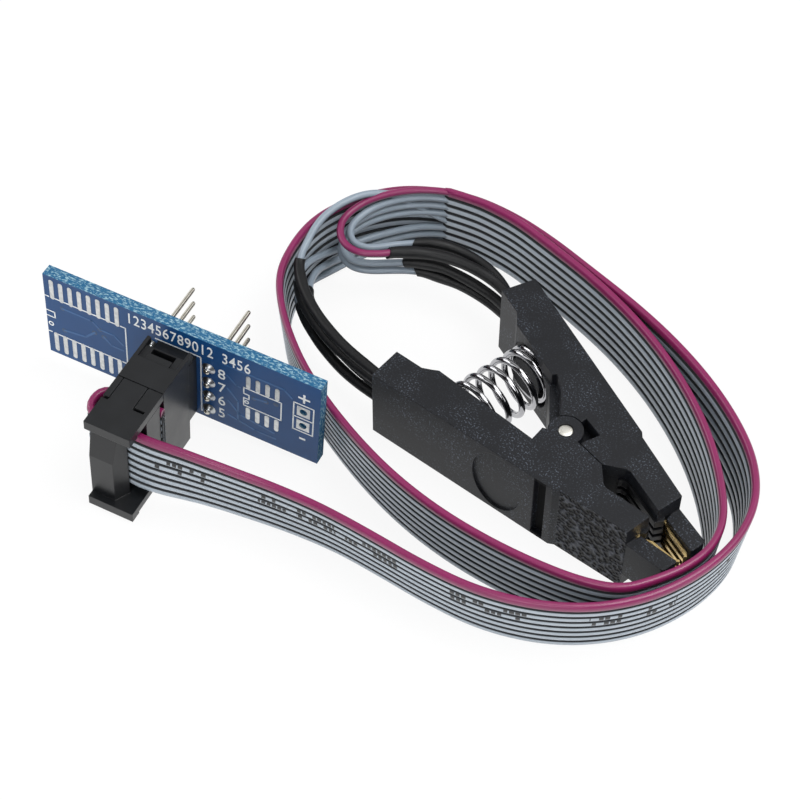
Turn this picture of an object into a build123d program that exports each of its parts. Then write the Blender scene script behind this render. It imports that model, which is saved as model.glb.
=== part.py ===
from build123d import *
import math
import os

os.makedirs("parts", exist_ok=True)

# ------------------------------------------------------------------ driving dimensions, mm
# The clip lies on its side: hinge pin along Z, nose along +X, origin on the pin at the lower side face.
PITCH = 1.27            # conductor, contact and lead pitch
THICK = 10.4            # clip, side face to side face
MID = THICK / 2         # middle plane of the clip
PLATE = 2.0             # side plates and hinge ears
FLOAT = 0.05            # side play of the knuckle between the ears
SEAM = 0.06             # half the parting gap between the closed jaws
OPEN_DEG = 18.0         # full travel of the front jaw

PIN_R = 0.925           # hinge pin
PIN_PLAY = 0.04         # radial play of the pin in the knuckle
KNUCKLE_R = 2.1         # knuckle and hinge ears
EAR_PLAY = 0.12         # radial gap round the knuckle and round the ears

BUTT = (-21.3, 8.1)     # inner corner of the handle's end
HEEL = (-20.25, 12.6)   # outer corner of the handle's end
SHOULDER = (5.6, 6.75)  # outer end of the handle's straight back
GROOVE = (3.1, 4.7)     # cross groove on the back, start and end
GROOVE_DEEP = 0.8
GROOVE_WALL = 0.35      # side wall that closes each end of the groove
PLATE_END = (15.1, 4.1)  # outer front corner of the side plates
NOSE_X = 20.25          # tip of the nose
NOSE_WIDE = 5.7         # nose, along the hinge pin
DISH = (-2.0, 3.5, 4.7, 0.3)  # thumb dish: x, half length, half width, depth

STRIP_WIDE = 0.5        # contact strip, along the hinge pin
STRIP_THICK = 0.3
STRIP_PLAY = 0.05       # side play of a strip in its channel
LANE = (-20.25, 10.25, -0.2263)  # the strips' straight lane: x, y and slope
COMB_BACK = 0.4         # lane's centre to the comb's back
COMB_X = (8.0, 15.1)    # comb pocket, start and end
COMB_PROUD = 0.3        # comb ribs stand out of the mouth's edge

SPRING_X = -12.1        # spring's axis is parallel to Y
SPRING_R = 3.47         # coil, to the wire's centre
SPRING_WIRE = 0.41      # wire radius
SPRING_TURNS = 7
SEAT = 6.2              # spring seats' floors, either side of the middle
SEAT_R = SPRING_R + SPRING_WIRE + 0.3
POST_R = SPRING_R - SPRING_WIRE - 0.45
POST_TOP = 4.4

WIRE_R = 0.475          # insulated conductor
SLEEVE_R = 0.61         # shrink sleeve over a soldered joint
POCKET_X = -19.2        # floor of the lead pocket in a handle's end
TAIL_X = -19.6          # strips end and sleeves start here
SPLIT_R = math.hypot(*HEEL) + 0.55  # the front jaw's stubs of sleeve end on this radius
SPLIT_GAP = 0.3

RIBBON_WIDE = 8 * PITCH
RIBBON_THICK = 0.9

# adapter board: its front left bottom corner and its own axes (along, back, up)
BOARD = Plane(origin=(-52.39, -38.19, 3.55), x_dir=(0.8884, 0.4536, -0.0720), z_dir=(0.0590, 0.0440, 0.9973))
BOARD_SIZE = (36.9, 1.6, 14.1)
GRID = 2.54             # header and pin grid
ROW_B = 5.61            # height of the grid's middle on the board
HEADER_A = 18.1         # header's middle along the board
DIP_A = (14.64, 22.26)  # the two pin columns
SUPPLY_A = 34.8         # the two supply holes along the board
SUPPLY_B = 6.2          # the lower one's height
PAD_THICK = 0.06
DIP_R = 0.25            # free end of a pin
DIP_ROOT_R = 0.42       # pin in its strip and through the board
DIP_END = 10.2
HOLE_R = 0.5
SQUARE = 0.64           # header pin
SOCKET_A = (15.15, 21.05)  # socket, start and end along the board
SOCKET_B = (-1.9, 13.1)  # socket, bottom and top
BODY_C = (-8.3, -GRID)  # socket body, front and back
COVER_C = (-12.2, BODY_C[0] - RIBBON_THICK)
BAR_C = (-15.4, -13.6)  # strain relief bar
FLANGE = 1.1
EXIT_A = 20.6           # the folded tail and the cable meet here

LANES = [MID + PITCH * (1.5 - i) for i in range(4)]
ROWS = [ROW_B + GRID * (1.5 - i) for i in range(4)]


# ------------------------------------------------------------------ helpers
def save(node, shape):
    shape.label = node
    export_step(shape, f"parts/{node}.step")
    print(node, round(shape.volume, 2))


def group(node, solids):
    save(node, Compound(children=solids))


def plate(points, z0, z1):
    """Flat plate: a closed outline in XY, from z0 up to z1."""
    face = make_face(Polyline(*points, close=True))
    return extrude(Pos(0, 0, z0) * face, z1 - z0)


def disc(radius, z0, z1, x=0.0, y=0.0):
    return Pos(x, y, (z0 + z1) / 2) * Cylinder(radius, z1 - z0)


def block(a0, a1, c0, c1, b0, b1):
    """Box in a piece's own axes."""
    size = (a1 - a0, c1 - c0, b1 - b0)
    return Pos((a0 + a1) / 2, (c0 + c1) / 2, (b0 + b1) / 2) * Box(*size)


def rod(a, b, radius, c0, c1):
    """Round rod along the board's second axis."""
    return Pos(a, (c0 + c1) / 2, b) * Rot(90, 0, 0) * Cylinder(radius, c1 - c0)


def on_board(shape):
    return BOARD.location * shape


def radii(points):
    """Largest tangent arcs that leave a tenth of each run straight."""
    result = []
    for before, here, after in zip(points, points[1:], points[2:]):
        first = Vector(*here) - Vector(*before)
        second = Vector(*after) - Vector(*here)
        turn = math.radians(first.get_angle(second))
        result.append(0.45 * min(first.length, second.length) / math.tan(turn / 2))
    return result


def tube(points, radius):
    """Round cord: straight runs joined by tangent arcs."""
    bends = radii(points)
    path = FilletPolyline(*points, radius=bends)
    start = Plane(origin=path @ 0, z_dir=path % 0)
    solid = sweep(start * Circle(radius), path=path)
    print("  bends from", round(min(bends), 2), "length", round(path.length, 2),
          "volume ratio", round(solid.volume / (math.pi * radius ** 2 * path.length), 3))
    return solid


def side_line(points, bends, shift):
    """A route's edge, shift to the left of it: mitred corners and matching arcs."""
    edge = []
    corner = []
    last = len(points) - 1
    for i, point in enumerate(points):
        here = Vector(*point)
        into = (here - Vector(*points[i - 1])).normalized() if i else None
        out = (Vector(*points[i + 1]) - here).normalized() if i < last else None
        into = into or out
        out = out or into
        left = Vector(-into.Y - out.Y, into.X + out.X).normalized()
        square = Vector(-into.Y, into.X)
        edge.append(here + left * (shift / left.dot(square)))
        if 0 < i < last:
            side = 1 if into.X * out.Y - into.Y * out.X > 0 else -1
            corner.append(bends[i - 1] - side * shift)
    return edge, corner


def band(points, thick):
    """Face of a flat cord seen from above, as thick as the cord."""
    bends = radii(points)
    left, left_bends = side_line(points, bends, thick / 2)
    right, right_bends = side_line(points, bends, -thick / 2)
    first = FilletPolyline(*left, radius=left_bends)
    second = FilletPolyline(*right, radius=right_bends)
    ends = [Line(left[0], right[0]), Line(left[-1], right[-1])]
    print("  ribbon bends from", round(min(bends), 2))
    return make_face(Curve() + [first, second] + ends)


def lane(x):
    """Middle of the contact lane at x."""
    return LANE[1] + LANE[2] * (x - LANE[0])


def back(x):
    """The handle's outer edge at x."""
    return HEEL[1] + (SHOULDER[1] - HEEL[1]) * (x - HEEL[0]) / (SHOULDER[0] - HEEL[0])


def flip(points, side):
    return [(x, y * side) for x, y in points]


# ------------------------------------------------------------------ jaws
OUTER = [BUTT, HEEL, SHOULDER, (6.2, 6.25), PLATE_END]
MOUTH = [(15.0, 0.65), (9.1, 1.85), (8.45, 1.7), (6.3, SEAM)]
INNER = [(-15.9, 5.95), (-16.5, 6.5), (-17.5, 7.3)]
POCKET_TOP = [(COMB_X[1], lane(COMB_X[1]) + COMB_BACK), (COMB_X[0], lane(COMB_X[0]) + COMB_BACK)]
LIP = (COMB_X[0], 1.34)
NOSE = [(14.9, lane(14.9) + COMB_BACK), (14.9, 4.0), (15.1, 4.05), (20.0, 3.25),
        (NOSE_X, 2.95), (NOSE_X, 1.25), (20.1, 1.1), (15.3, 1.92), (COMB_X[1] + 0.05, POCKET_TOP[0][1])]

# The rear jaw carries the knuckle, the front jaw the two ears.
REAR_PLATE = OUTER + MOUTH + [(2.6, SEAM), (2.6, 0.45), (3.0, 2.6), (0.2, 3.0), (0.2, 1.9), (-1.87, 0.8),
                              (-5.2, 3.8), (-7.0, 4.7), (-7.3, 4.2), (-12.6, 5.3)] + INNER
REAR_CORE = OUTER + POCKET_TOP + [LIP, (6.3, SEAM), (1.8, SEAM), (0.0, 0.0), (-1.98, -0.66),
                                  (-7.35, 4.0), (-12.6, 5.3)] + INNER
FRONT_PLATE = OUTER + MOUTH + [(0.6, SEAM), (0.0, 0.6), (-1.9, 1.9), (-1.4, 3.88)] + INNER
FRONT_CORE = OUTER + POCKET_TOP + [LIP, (6.3, SEAM), (1.0, SEAM), (-1.0, 1.6), (-1.4, 3.88)] + INNER

REAR_STRIP = [(TAIL_X, lane(TAIL_X)), (14.4, lane(14.4)), (16.3, 1.5), (19.6, 0.88), (20.05, 0.45)]
FRONT_STRIP = [(TAIL_X, lane(TAIL_X)), (14.4, lane(14.4)), (16.3, 1.12), (19.6, 0.83), (20.05, 0.42)]


def strip(points, side, z, thick, wide):
    """Bent strip of even thickness in the XY plane, centred on z."""
    flat = [(0.0, 0.0)] * len(points)
    left, _ = side_line(points, [0.0] * len(flat), thick / 2)
    right, _ = side_line(points, [0.0] * len(flat), -thick / 2)
    outline = [(p.X, p.Y) for p in left + right[::-1]]
    return plate(flip(outline, side), z - wide / 2, z + wide / 2)


def spring_seat(side):
    """Round seat and post, cut square to the spring's axis."""
    at = Pos(SPRING_X, side * SEAT, MID) * Rot(side * 90, 0, 0)
    seat = at * Pos(0, 0, 2.0) * Cylinder(SEAT_R, 4.0)
    post = at * Pos(0, 0, (SEAT - POST_TOP) / 2) * Cylinder(POST_R, SEAT - POST_TOP)
    return seat, post


def jaw(side, plates, core, route):
    top = THICK - PLATE
    body = plate(flip(core, side), PLATE, top)
    body += plate(flip(plates, side), 0, PLATE)
    body += plate(flip(plates, side), top, THICK)
    body += plate(flip(NOSE, side), MID - NOSE_WIDE / 2, MID + NOSE_WIDE / 2)
    # back: cross groove and thumb dish
    groove = [(GROOVE[0], back(GROOVE[0]) - GROOVE_DEEP), (GROOVE[1], back(GROOVE[1]) - GROOVE_DEEP),
              (GROOVE[1], 12.0), (GROOVE[0], 12.0)]
    body -= plate(flip(groove, side), GROOVE_WALL, THICK - GROOVE_WALL)
    slope = LANE[2]
    away = Vector(-slope, 1.0, 0).normalized()
    out = Vector(away.X, side * away.Y, 0)
    along = Vector(1.0, side * slope, 0).normalized()
    x, half_long, half_wide, deep = DISH
    face = Plane(origin=(x, side * back(x), MID), x_dir=along, z_dir=out)
    body -= extrude(face.offset(1) * Ellipse(half_long, half_wide), -(deep + 1))
    # spring seat
    seat, post = spring_seat(side)
    body -= seat
    body += post
    # lead pocket in the handle's end
    high = LANES[0] + SLEEVE_R + 0.1
    low = LANES[3] - SLEEVE_R - 0.1
    mouth = [(-22.5, 8.9), (-22.5, 12.2), (-20.4, 11.9), (POCKET_X, 11.0), (POCKET_X, 9.2)]
    body -= plate(flip(mouth, side), low, high)
    # one channel for each contact strip
    for z in LANES:
        body -= strip(route, side, z, STRIP_THICK, STRIP_WIDE + 2 * STRIP_PLAY)
    slot = [(14.8, 0.4), (14.8, 2.7), (15.4, 2.4), (17.4, 1.95), (17.4, 0.4)]
    for z in LANES:
        body -= plate(flip(slot, side), z - STRIP_WIDE / 2 - STRIP_PLAY, z + STRIP_WIDE / 2 + STRIP_PLAY)
    return body


rear = jaw(1, REAR_PLATE, REAR_CORE, REAR_STRIP)
rear += disc(KNUCKLE_R, PLATE + FLOAT, THICK - PLATE - FLOAT)
for z0, z1 in ((-1, PLATE + FLOAT), (THICK - PLATE - FLOAT, THICK + 1)):
    rear -= disc(KNUCKLE_R + EAR_PLAY, z0, z1)
rear -= disc(PIN_R + PIN_PLAY, 0, THICK)
save("upper_jaw", rear.solid())

front = jaw(-1, FRONT_PLATE, FRONT_CORE, FRONT_STRIP)
front -= disc(KNUCKLE_R + EAR_PLAY, PLATE, THICK - PLATE)
for z0, z1 in ((0, PLATE), (THICK - PLATE, THICK)):
    front += disc(KNUCKLE_R, z0, z1)
front -= disc(PIN_R, -1, THICK + 1)
save("lower_jaw", front.solid())

save("hinge_pin", disc(PIN_R, 0, THICK))

# ------------------------------------------------------------------ combs and contacts
COMB_START = COMB_X[0] + STRIP_PLAY
COMB_END = COMB_X[1] - STRIP_PLAY
RIB = [(COMB_START, lane(COMB_START) + COMB_BACK), (COMB_END, lane(COMB_END) + COMB_BACK),
       (COMB_END, lane(COMB_END) - COMB_BACK), (COMB_END + 0.45, lane(COMB_END) - COMB_BACK - 0.5)]
RIB += [(x, y - COMB_PROUD) for x, y in MOUTH[:3]] + [(COMB_START, LIP[1] - COMB_PROUD)]
for name, side, route in (("upper", 1, REAR_STRIP), ("lower", -1, FRONT_STRIP)):
    comb = plate(flip(RIB, side), PLATE + FLOAT, THICK - PLATE - FLOAT)
    under = STRIP_THICK / 2 * math.hypot(1, LANE[2])
    gap = [(7.5, -1.0), (7.5, lane(7.5) + under), (14.4, lane(14.4) + under), (16.0, 1.9), (16.0, -1.0)]
    for z in LANES:
        comb -= plate(flip(gap, side), z - STRIP_WIDE / 2 - STRIP_PLAY, z + STRIP_WIDE / 2 + STRIP_PLAY)
    save(f"{name}_comb", comb.solid())
    strips = [strip(route, side, z, STRIP_THICK, STRIP_WIDE) for z in LANES]
    group(f"{name}_contacts", strips)

# ------------------------------------------------------------------ spring
rise = 2 * (SEAT - SPRING_WIRE)
coil = Helix(pitch=rise / SPRING_TURNS, height=rise, radius=SPRING_R)
wire = sweep(Plane(origin=coil @ 0, z_dir=coil % 0) * Circle(SPRING_WIRE), path=coil, is_frenet=True)
save("jaw_spring", (Pos(SPRING_X, rise / 2, MID) * Rot(90, 0, 0) * wire).solid())

# ------------------------------------------------------------------ ribbon cable
# Route of the flat cable's middle, seen from above, from the split end to the socket.
RIBBON = [
    (-37.0, 14.59), (-35.35, 15.5), (-32.3, 16.2), (-29.0, 16.85), (-24.0, 17.5), (-17.5, 18.1), (-11.0, 18.2), (-4.8, 17.5),
    (1.0, 16.2), (6.5, 14.3), (11.5, 11.9), (16.0, 9.0), (19.8, 5.8), (21.6, 2.2), (21.75, -1.6),
    (20.9, -5.4), (19.65, -9.0), (16.2, -11.7), (11.4, -14.1), (6.0, -16.2), (0.0, -17.9),
    (-6.4, -18.9), (-13.0, -19.1), (-20.0, -18.6), (-26.3, -17.6), (-31.6, -16.0), (-36.4, -14.0),
    (-40.8, -11.2), (-43.9, -7.4), (-46.0, -2.8), (-47.2, 2.0), (-46.9, 7.0), (-43.8, 11.9),
    (-38.6, 15.7), (-32.2, 17.9), (-25.0, 19.1), (-17.6, 19.5), (-10.0, 19.7), (-3.0, 19.3),
    (3.8, 18.4), (10.2, 16.7), (15.6, 14.3), (19.6, 10.9), (22.0, 6.6), (22.95, 1.8),
    (22.8, -3.2), (21.6, -8.2), (19.0, -13.2), (15.0, -17.6), (9.8, -21.2), (3.8, -23.6),
    (-2.4, -25.5), (-8.4, -27.5), (-13.8, -30.0), (-18.6, -33.2), (-22.9, -36.6), (-27.55, -40.1)]
CLIMB_AT = RIBBON[-4]   # the cable lies on the floor as far as this point, then climbs to the socket
RAMP = [(0.0, 0.0), (3.0, 0.2), (6.0, 0.8), (9.0, 1.5), (12.0, 2.1), (15.0, 2.45), (19.0, 2.7)]

whole = extrude(Pos(0, 0, -1) * band(RIBBON, RIBBON_THICK), RIBBON_WIDE + 6)
turn_at = Vector(*CLIMB_AT)
ramp_dir = (Vector(*RIBBON[-1]) - turn_at).normalized()
ramp_plane = Plane(origin=turn_at, x_dir=ramp_dir, z_dir=(ramp_dir.Y, -ramp_dir.X, 0))
profile = [(-150.0, 0.0)] + RAMP
profile += [(t, z + RIBBON_WIDE) for t, z in reversed(RAMP)] + [(-150.0, RIBBON_WIDE)]
zone = make_face(Polyline(*[ramp_plane.from_local_coords((t, z, 0)) for t, z in profile], close=True))
flat_part = Plane.XY.offset(0) * Pos(0, 0, RIBBON_WIDE / 2) * Box(200, 200, RIBBON_WIDE)
ahead = Pos(*turn_at) * Rot(0, 0, math.degrees(math.atan2(ramp_dir.Y, ramp_dir.X)))
near_socket = ahead * Pos(15, 0, 5) * Box(30, 24, 40)
climb = extrude(zone, 12, both=True) & near_socket
cable = (whole & (flat_part - near_socket)) + (whole & climb)
save("ribbon_cable", cable.solid())

# tail: from its cut end through the socket, round the cover's edge and out under the strain relief
fold = (BODY_C[0] - RIBBON_THICK / 2 + COVER_C[0] - RIBBON_THICK / 2) / 2
fold_r = (BODY_C[0] - COVER_C[0]) / 2
c_in = BODY_C[0] - RIBBON_THICK / 2
c_out = COVER_C[0] - RIBBON_THICK / 2
tail = block(SOCKET_A[0], SOCKET_A[1] + 0.1, c_in - RIBBON_THICK / 2, c_in + RIBBON_THICK / 2, 0, RIBBON_WIDE)
tail += block(SOCKET_A[0], EXIT_A, c_out - RIBBON_THICK / 2, c_out + RIBBON_THICK / 2, 0, RIBBON_WIDE)
bend = disc(fold_r + RIBBON_THICK / 2, 0, RIBBON_WIDE, SOCKET_A[0], fold)
bend -= disc(fold_r - RIBBON_THICK / 2, -1, RIBBON_WIDE + 1, SOCKET_A[0], fold)
bend -= block(SOCKET_A[0], SOCKET_A[0] + 9, -30, 9, -1, RIBBON_WIDE + 1)
tail += bend
save("ribbon_tail", on_board(Pos(0, 0, ROW_B - RIBBON_WIDE / 2) * tail).solid())

# ------------------------------------------------------------------ leads
# Each lead runs from the ribbon's split end to a strip's tail: bare conductor, then shrink sleeve.
SPLIT = (-37.0, 14.59)
SPLIT_NEXT = (-38.6, 13.7)
UPPER_WIRES = [
    [(-41.9, 11.0, 9.52), (-44.2, 7.4, 9.52), (-44.9, 3.4, 9.5), (-43.7, -0.1, 9.45),
     (-40.9, -1.9, 9.3), (-38.0, -1.4, 9.2), (-36.2, 0.9, 9.1)],
    [(-41.8, 11.1, 8.25), (-43.9, 7.8, 8.25), (-44.4, 4.2, 8.25), (-43.3, 1.1, 8.2),
     (-40.8, -0.3, 8.2), (-38.6, 0.8, 8.1), (-37.2, 4.0, 8.0)],
    [(-41.9, 11.0, 6.98), (-44.2, 7.4, 6.98), (-44.8, 3.5, 7.0), (-43.6, 0.1, 7.0),
     (-40.9, -1.6, 7.0), (-38.2, -1.2, 7.0), (-36.4, 0.9, 7.0)],
    [(-41.9, 11.0, 5.71), (-44.2, 7.4, 5.71), (-44.9, 3.6, 5.7), (-43.9, 0.1, 5.7),
     (-41.2, -1.6, 5.7), (-38.2, -1.2, 5.7), (-36.4, 1.3, 5.65)]]
UPPER_SLEEVES = [
    [(-35.3, 2.7, 9.05), (-33.6, 5.1, 8.9), (-30.8, 7.6, 8.6), (-27.1, 9.5, 8.1), (-23.6, 10.4, 7.3)],
    [(-34.8, 7.8, 8.0), (-32.4, 10.0, 7.4), (-29.2, 11.4, 6.8), (-25.6, 11.7, 6.2), (-22.8, 10.9, 5.86)],
    [(-35.4, 2.8, 7.0), (-33.6, 5.1, 6.9), (-30.8, 7.5, 6.5), (-27.1, 9.3, 5.5), (-23.6, 10.2, 4.75)],
    [(-33.9, 4.9, 5.45), (-31.4, 6.9, 4.95), (-28.8, 8.5, 4.4), (-26.2, 9.5, 3.8), (-23.4, 10.1, 3.35)]]
LOWER_WIRES = [
    [(-42.2, 11.4, 4.45), (-44.9, 8.1, 4.5), (-46.1, 4.4, 5.9), (-45.7, 0.6, 7.7),
     (-44.6, -2.7, 8.7), (-43.0, -5.7, 8.9)],
    [(-42.0, 11.2, 3.18), (-44.3, 7.7, 3.18), (-45.2, 3.4, 3.4), (-44.9, -1.0, 4.4),
     (-43.4, -5.2, 5.9), (-41.3, -8.4, 7.0)],
    [(-42.0, 11.2, 1.91), (-44.3, 7.7, 1.91), (-45.0, 3.4, 2.0), (-44.6, -0.6, 2.7),
     (-43.0, -4.2, 4.0), (-40.8, -6.9, 5.3)],
    [(-42.0, 11.2, 0.64), (-44.3, 7.7, 0.64), (-45.1, 3.2, 0.7), (-44.8, -1.4, 1.0),
     (-43.3, -5.8, 2.1), (-40.8, -9.1, 3.7)]]
LOWER_SLEEVES = [
    [(-41.0, -7.9, 8.8), (-38.0, -9.5, 8.5), (-34.2, -10.5, 8.1), (-30.0, -10.9, 7.7), (-26.2, -10.8, 7.35),
     (-23.0, -10.45, 7.15)],
    [(-38.6, -10.5, 7.4), (-35.4, -11.5, 7.0), (-31.6, -11.9, 6.5), (-27.6, -11.7, 6.1), (-24.0, -11.0, 5.88)],
    [(-38.0, -8.4, 6.1), (-34.6, -9.5, 5.95), (-30.8, -9.9, 5.5), (-27.0, -9.9, 5.0), (-23.6, -10.0, 4.62)],
    [(-37.0, -11.1, 5.0), (-33.2, -12.3, 4.7), (-29.2, -12.6, 4.2), (-25.6, -12.1, 3.6), (-22.6, -11.1, 3.31)]]


def middle(a, b):
    return tuple((p + q) / 2 for p, q in zip(a, b))


for side, name, wires, sleeves in ((1, "upper", UPPER_WIRES, UPPER_SLEEVES),
                                   (-1, "lower", LOWER_WIRES, LOWER_SLEEVES)):
    for i, (wire, sleeve) in enumerate(zip(wires, sleeves)):
        height = RIBBON_WIDE - PITCH * (0.5 + i + (0 if side > 0 else 4))
        joint = middle(wire[-1], sleeve[0])
        start = [(*SPLIT, height), (*SPLIT_NEXT, height)]
        end = (TAIL_X, side * lane(TAIL_X), LANES[i])
        save(f"{name}_wire_{i + 1}", tube(start + wire + [joint], WIRE_R).solid())
        cover = tube([joint] + sleeve + [end], SLEEVE_R)
        if side > 0:
            save(f"upper_sleeve_{i + 1}", cover.solid())
        else:
            save(f"lower_stub_{i + 1}", (cover & disc(SPLIT_R, -1, THICK + 1)).solid())
            save(f"lower_sleeve_{i + 1}", (cover - disc(SPLIT_R + SPLIT_GAP, -1, THICK + 1)).solid())

# ------------------------------------------------------------------ adapter board
long, thick, tall = BOARD_SIZE
header_cells = [(HEADER_A + s * GRID / 2, b) for s in (-1, 1) for b in ROWS]
dip_cells = [(a, b) for a in DIP_A for b in ROWS]
supply_cells = [(SUPPLY_A, SUPPLY_B), (SUPPLY_A, SUPPLY_B + GRID)]

board = block(0, long, 0, thick, 0, tall)
for a, b in header_cells + dip_cells + supply_cells:
    board -= rod(a, b, HOLE_R, -1, thick + 1)
save("adapter_board", on_board(board).solid())

pads = [block(a - 0.3, a + 0.3, -PAD_THICK, 0, b - 1.7, b + 1.7)
        for a in [1.09 + PITCH * k for k in range(8)] for b in (11.83, tall - 11.83)]
group("sop16_pads", [on_board(p) for p in pads])
pads = [block(a - 0.3, a + 0.3, -PAD_THICK, 0, b - 1.1, b + 1.1)
        for a in [27.52 + PITCH * k for k in range(4)] for b in (9.91, 4.09)]
group("sop8_pads", [on_board(p) for p in pads])
pads = [block(a - 0.85, a + 0.85, -PAD_THICK, 0, b - 0.85, b + 0.85) - rod(a, b, HOLE_R, -1, 1)
        for a, b in supply_cells]
group("supply_pads", [on_board(p.solid()) for p in pads])

base = block(HEADER_A - GRID, HEADER_A + GRID, -GRID, 0, ROW_B - 2 * GRID, ROW_B + 2 * GRID)
for a, b in header_cells:
    base -= block(a - SQUARE / 2, a + SQUARE / 2, -4, 1, b - SQUARE / 2, b + SQUARE / 2)
save("header_base", on_board(base).solid())
pins = [block(a - SQUARE / 2, a + SQUARE / 2, -7.6, 2.7, b - SQUARE / 2, b + SQUARE / 2) for a, b in header_cells]
group("header_pins", [on_board(p) for p in pins])

strips = []
for a in DIP_A:
    bar = block(a - GRID / 2, a + GRID / 2, thick, thick + GRID, ROW_B - 2 * GRID, ROW_B + 2 * GRID)
    for b in ROWS:
        bar -= rod(a, b, DIP_ROOT_R, 0, 9)
    strips.append(on_board(bar.solid()))
group("dip_bases", strips)
pins = [rod(a, b, DIP_ROOT_R, -0.75, thick + GRID) + rod(a, b, DIP_R, thick + GRID, DIP_END) for a, b in dip_cells]
group("dip_pins", [on_board(p.solid()) for p in pins])


def fillet_of_solder(a, b, at, side, pin):
    """Cone of solder on the board's face round a pin."""
    cone = Pos(a, at + side * 0.3, b) * Rot(-side * 90, 0, 0) * Cone(0.85, 0.52, 0.6)
    return (cone - pin).solid()


joints = [fillet_of_solder(a, b, 0, -1, rod(a, b, DIP_ROOT_R, -2, 2)) for a, b in dip_cells]
joints += [fillet_of_solder(a, b, thick, 1, block(a - SQUARE / 2, a + SQUARE / 2, 0, 4,
                                                 b - SQUARE / 2, b + SQUARE / 2)) for a, b in header_cells]
group("solder_joints", [on_board(j) for j in joints])

# ------------------------------------------------------------------ socket on the ribbon's end
a0, a1 = SOCKET_A
b0, b1 = SOCKET_B
cell = (1.24, 1.0)      # contact cavity, along and up
leaf = 0.2              # fork contact sheet
body = block(a0, a1, *BODY_C, b0, b1)
for a, b in header_cells:
    body -= block(a - cell[0] / 2, a + cell[0] / 2, -12, 0, b - cell[1] / 2, b + cell[1] / 2)
# each end: a shallow bay between two side walls, with a sill and the latch window in it
bay = (-4.7, 0.45)      # its front, and the walls' thickness
for end, side in ((b1, -1), (b0, 1)):
    floor = end + side * 0.45
    body -= block(a0 + bay[1], a1 - bay[1], bay[0], 0, min(end, floor), max(end, floor))
    sill = end + side * 0.15
    body += block(16.5, 19.6, bay[0], -3.7, min(sill, floor), max(sill, floor))
    far = end + side * 1.7
    body -= block(16.6, 19.6, -3.6, -2.75, min(end, far), max(end, far))
for a in (a0, a1 - bay[1]):
    body += block(a, a + bay[1], BODY_C[1], -1.6, b1 - 1.0, b1)
save("socket_body", on_board(body).solid())

forks = []
for a, b in header_cells:
    fork = block(a - cell[0] / 2, a + cell[0] / 2, BODY_C[0], BODY_C[0] + 0.4, b - 0.35, b + 0.35)
    for s in (-1, 1):
        edge = a + s * (SQUARE / 2 + leaf / 2)
        fork += block(edge - leaf / 2, edge + leaf / 2, BODY_C[0], -3.4, b - 0.35, b + 0.35)
    forks.append(on_board(fork.solid()))
group("socket_contacts", forks)

cover = block(a0, a1, *COVER_C, b0 + FLANGE + 0.05, b1 - FLANGE - 0.05)
for b in (b0 + FLANGE + 0.35, b1 - FLANGE - 1.2):
    cover += block(a0 + 1.6, a1 - 1.6, COVER_C[1], BODY_C[0], b, b + 0.45)
    cover -= block(a0 - 1, a0 + 0.4, COVER_C[0] - 1, COVER_C[0] + 0.5, b, b + 0.9)
save("socket_cover", on_board(cover).solid())

# strain relief: a C bracket, its bar outside the cable and its flanges over the cover's ends
relief = plate([(a0, BAR_C[0]), (a0 + 3.05, BAR_C[0]), (a0 + 4.05, BAR_C[1]), (a0, BAR_C[1])], b0, b1)
under = b1 - 1.4
slope = [(0, BAR_C[0], 6.1), (0, BAR_C[0] + 0.95, under), (0, BAR_C[0] - 1, under), (0, BAR_C[0] - 1, 6.1)]
relief -= extrude(make_face(Polyline(*slope, close=True)), 30, dir=(1, 0, 0))
relief += block(a0, a1, BAR_C[0], BODY_C[0] - 0.1, b1 - FLANGE, b1)
relief += block(a0, a1, BAR_C[0], BODY_C[0] - 0.1, b0, b0 + FLANGE)
relief += block(a0, a1, BAR_C[0] - 0.9, BAR_C[0] + 0.6, b0 - 0.3, b0 + FLANGE)
relief += block(a0, a1, BAR_C[0] - 0.5, BAR_C[0] + 1.2, under, b1)
# two latch fingers on the end, marked off by fine grooves, each with a slot at its tip
for a, b in ((a0, a0 + 0.8), (a1 - 1.9, a1 - 0.5)):
    relief -= block(a - 1 if a == a0 else a, b, -11.95, -11.6, b1 - 0.5, b1 + 1)
    edge = b if a == a0 else a
    relief -= block(edge - 0.06, edge + 0.06, -11.7, BODY_C[0] + 1, b1 - 0.2, b1 + 1)
save("strain_relief", on_board(relief).solid())
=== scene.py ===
import math

import bpy
import numpy as np
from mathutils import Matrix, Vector


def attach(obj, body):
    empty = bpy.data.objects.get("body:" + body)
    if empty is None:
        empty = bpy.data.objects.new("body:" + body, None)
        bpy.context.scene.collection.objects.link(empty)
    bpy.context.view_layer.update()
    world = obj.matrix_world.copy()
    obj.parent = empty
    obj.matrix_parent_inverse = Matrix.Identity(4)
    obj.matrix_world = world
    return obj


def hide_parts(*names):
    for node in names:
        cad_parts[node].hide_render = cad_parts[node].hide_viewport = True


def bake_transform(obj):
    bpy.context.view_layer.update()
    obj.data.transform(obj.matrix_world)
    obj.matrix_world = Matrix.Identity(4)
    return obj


bl_info = {
    "name": "IC Test Clip",
    "version": (1, 0, 0),
    "blender": (4, 5, 0),
    "location": "3D View > Sidebar > Test Clip",
    "description": "Dresses a sprung chip test clip with its ribbon cable, socket and pin adapter board",
    "category": "Add Mesh",
}

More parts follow.
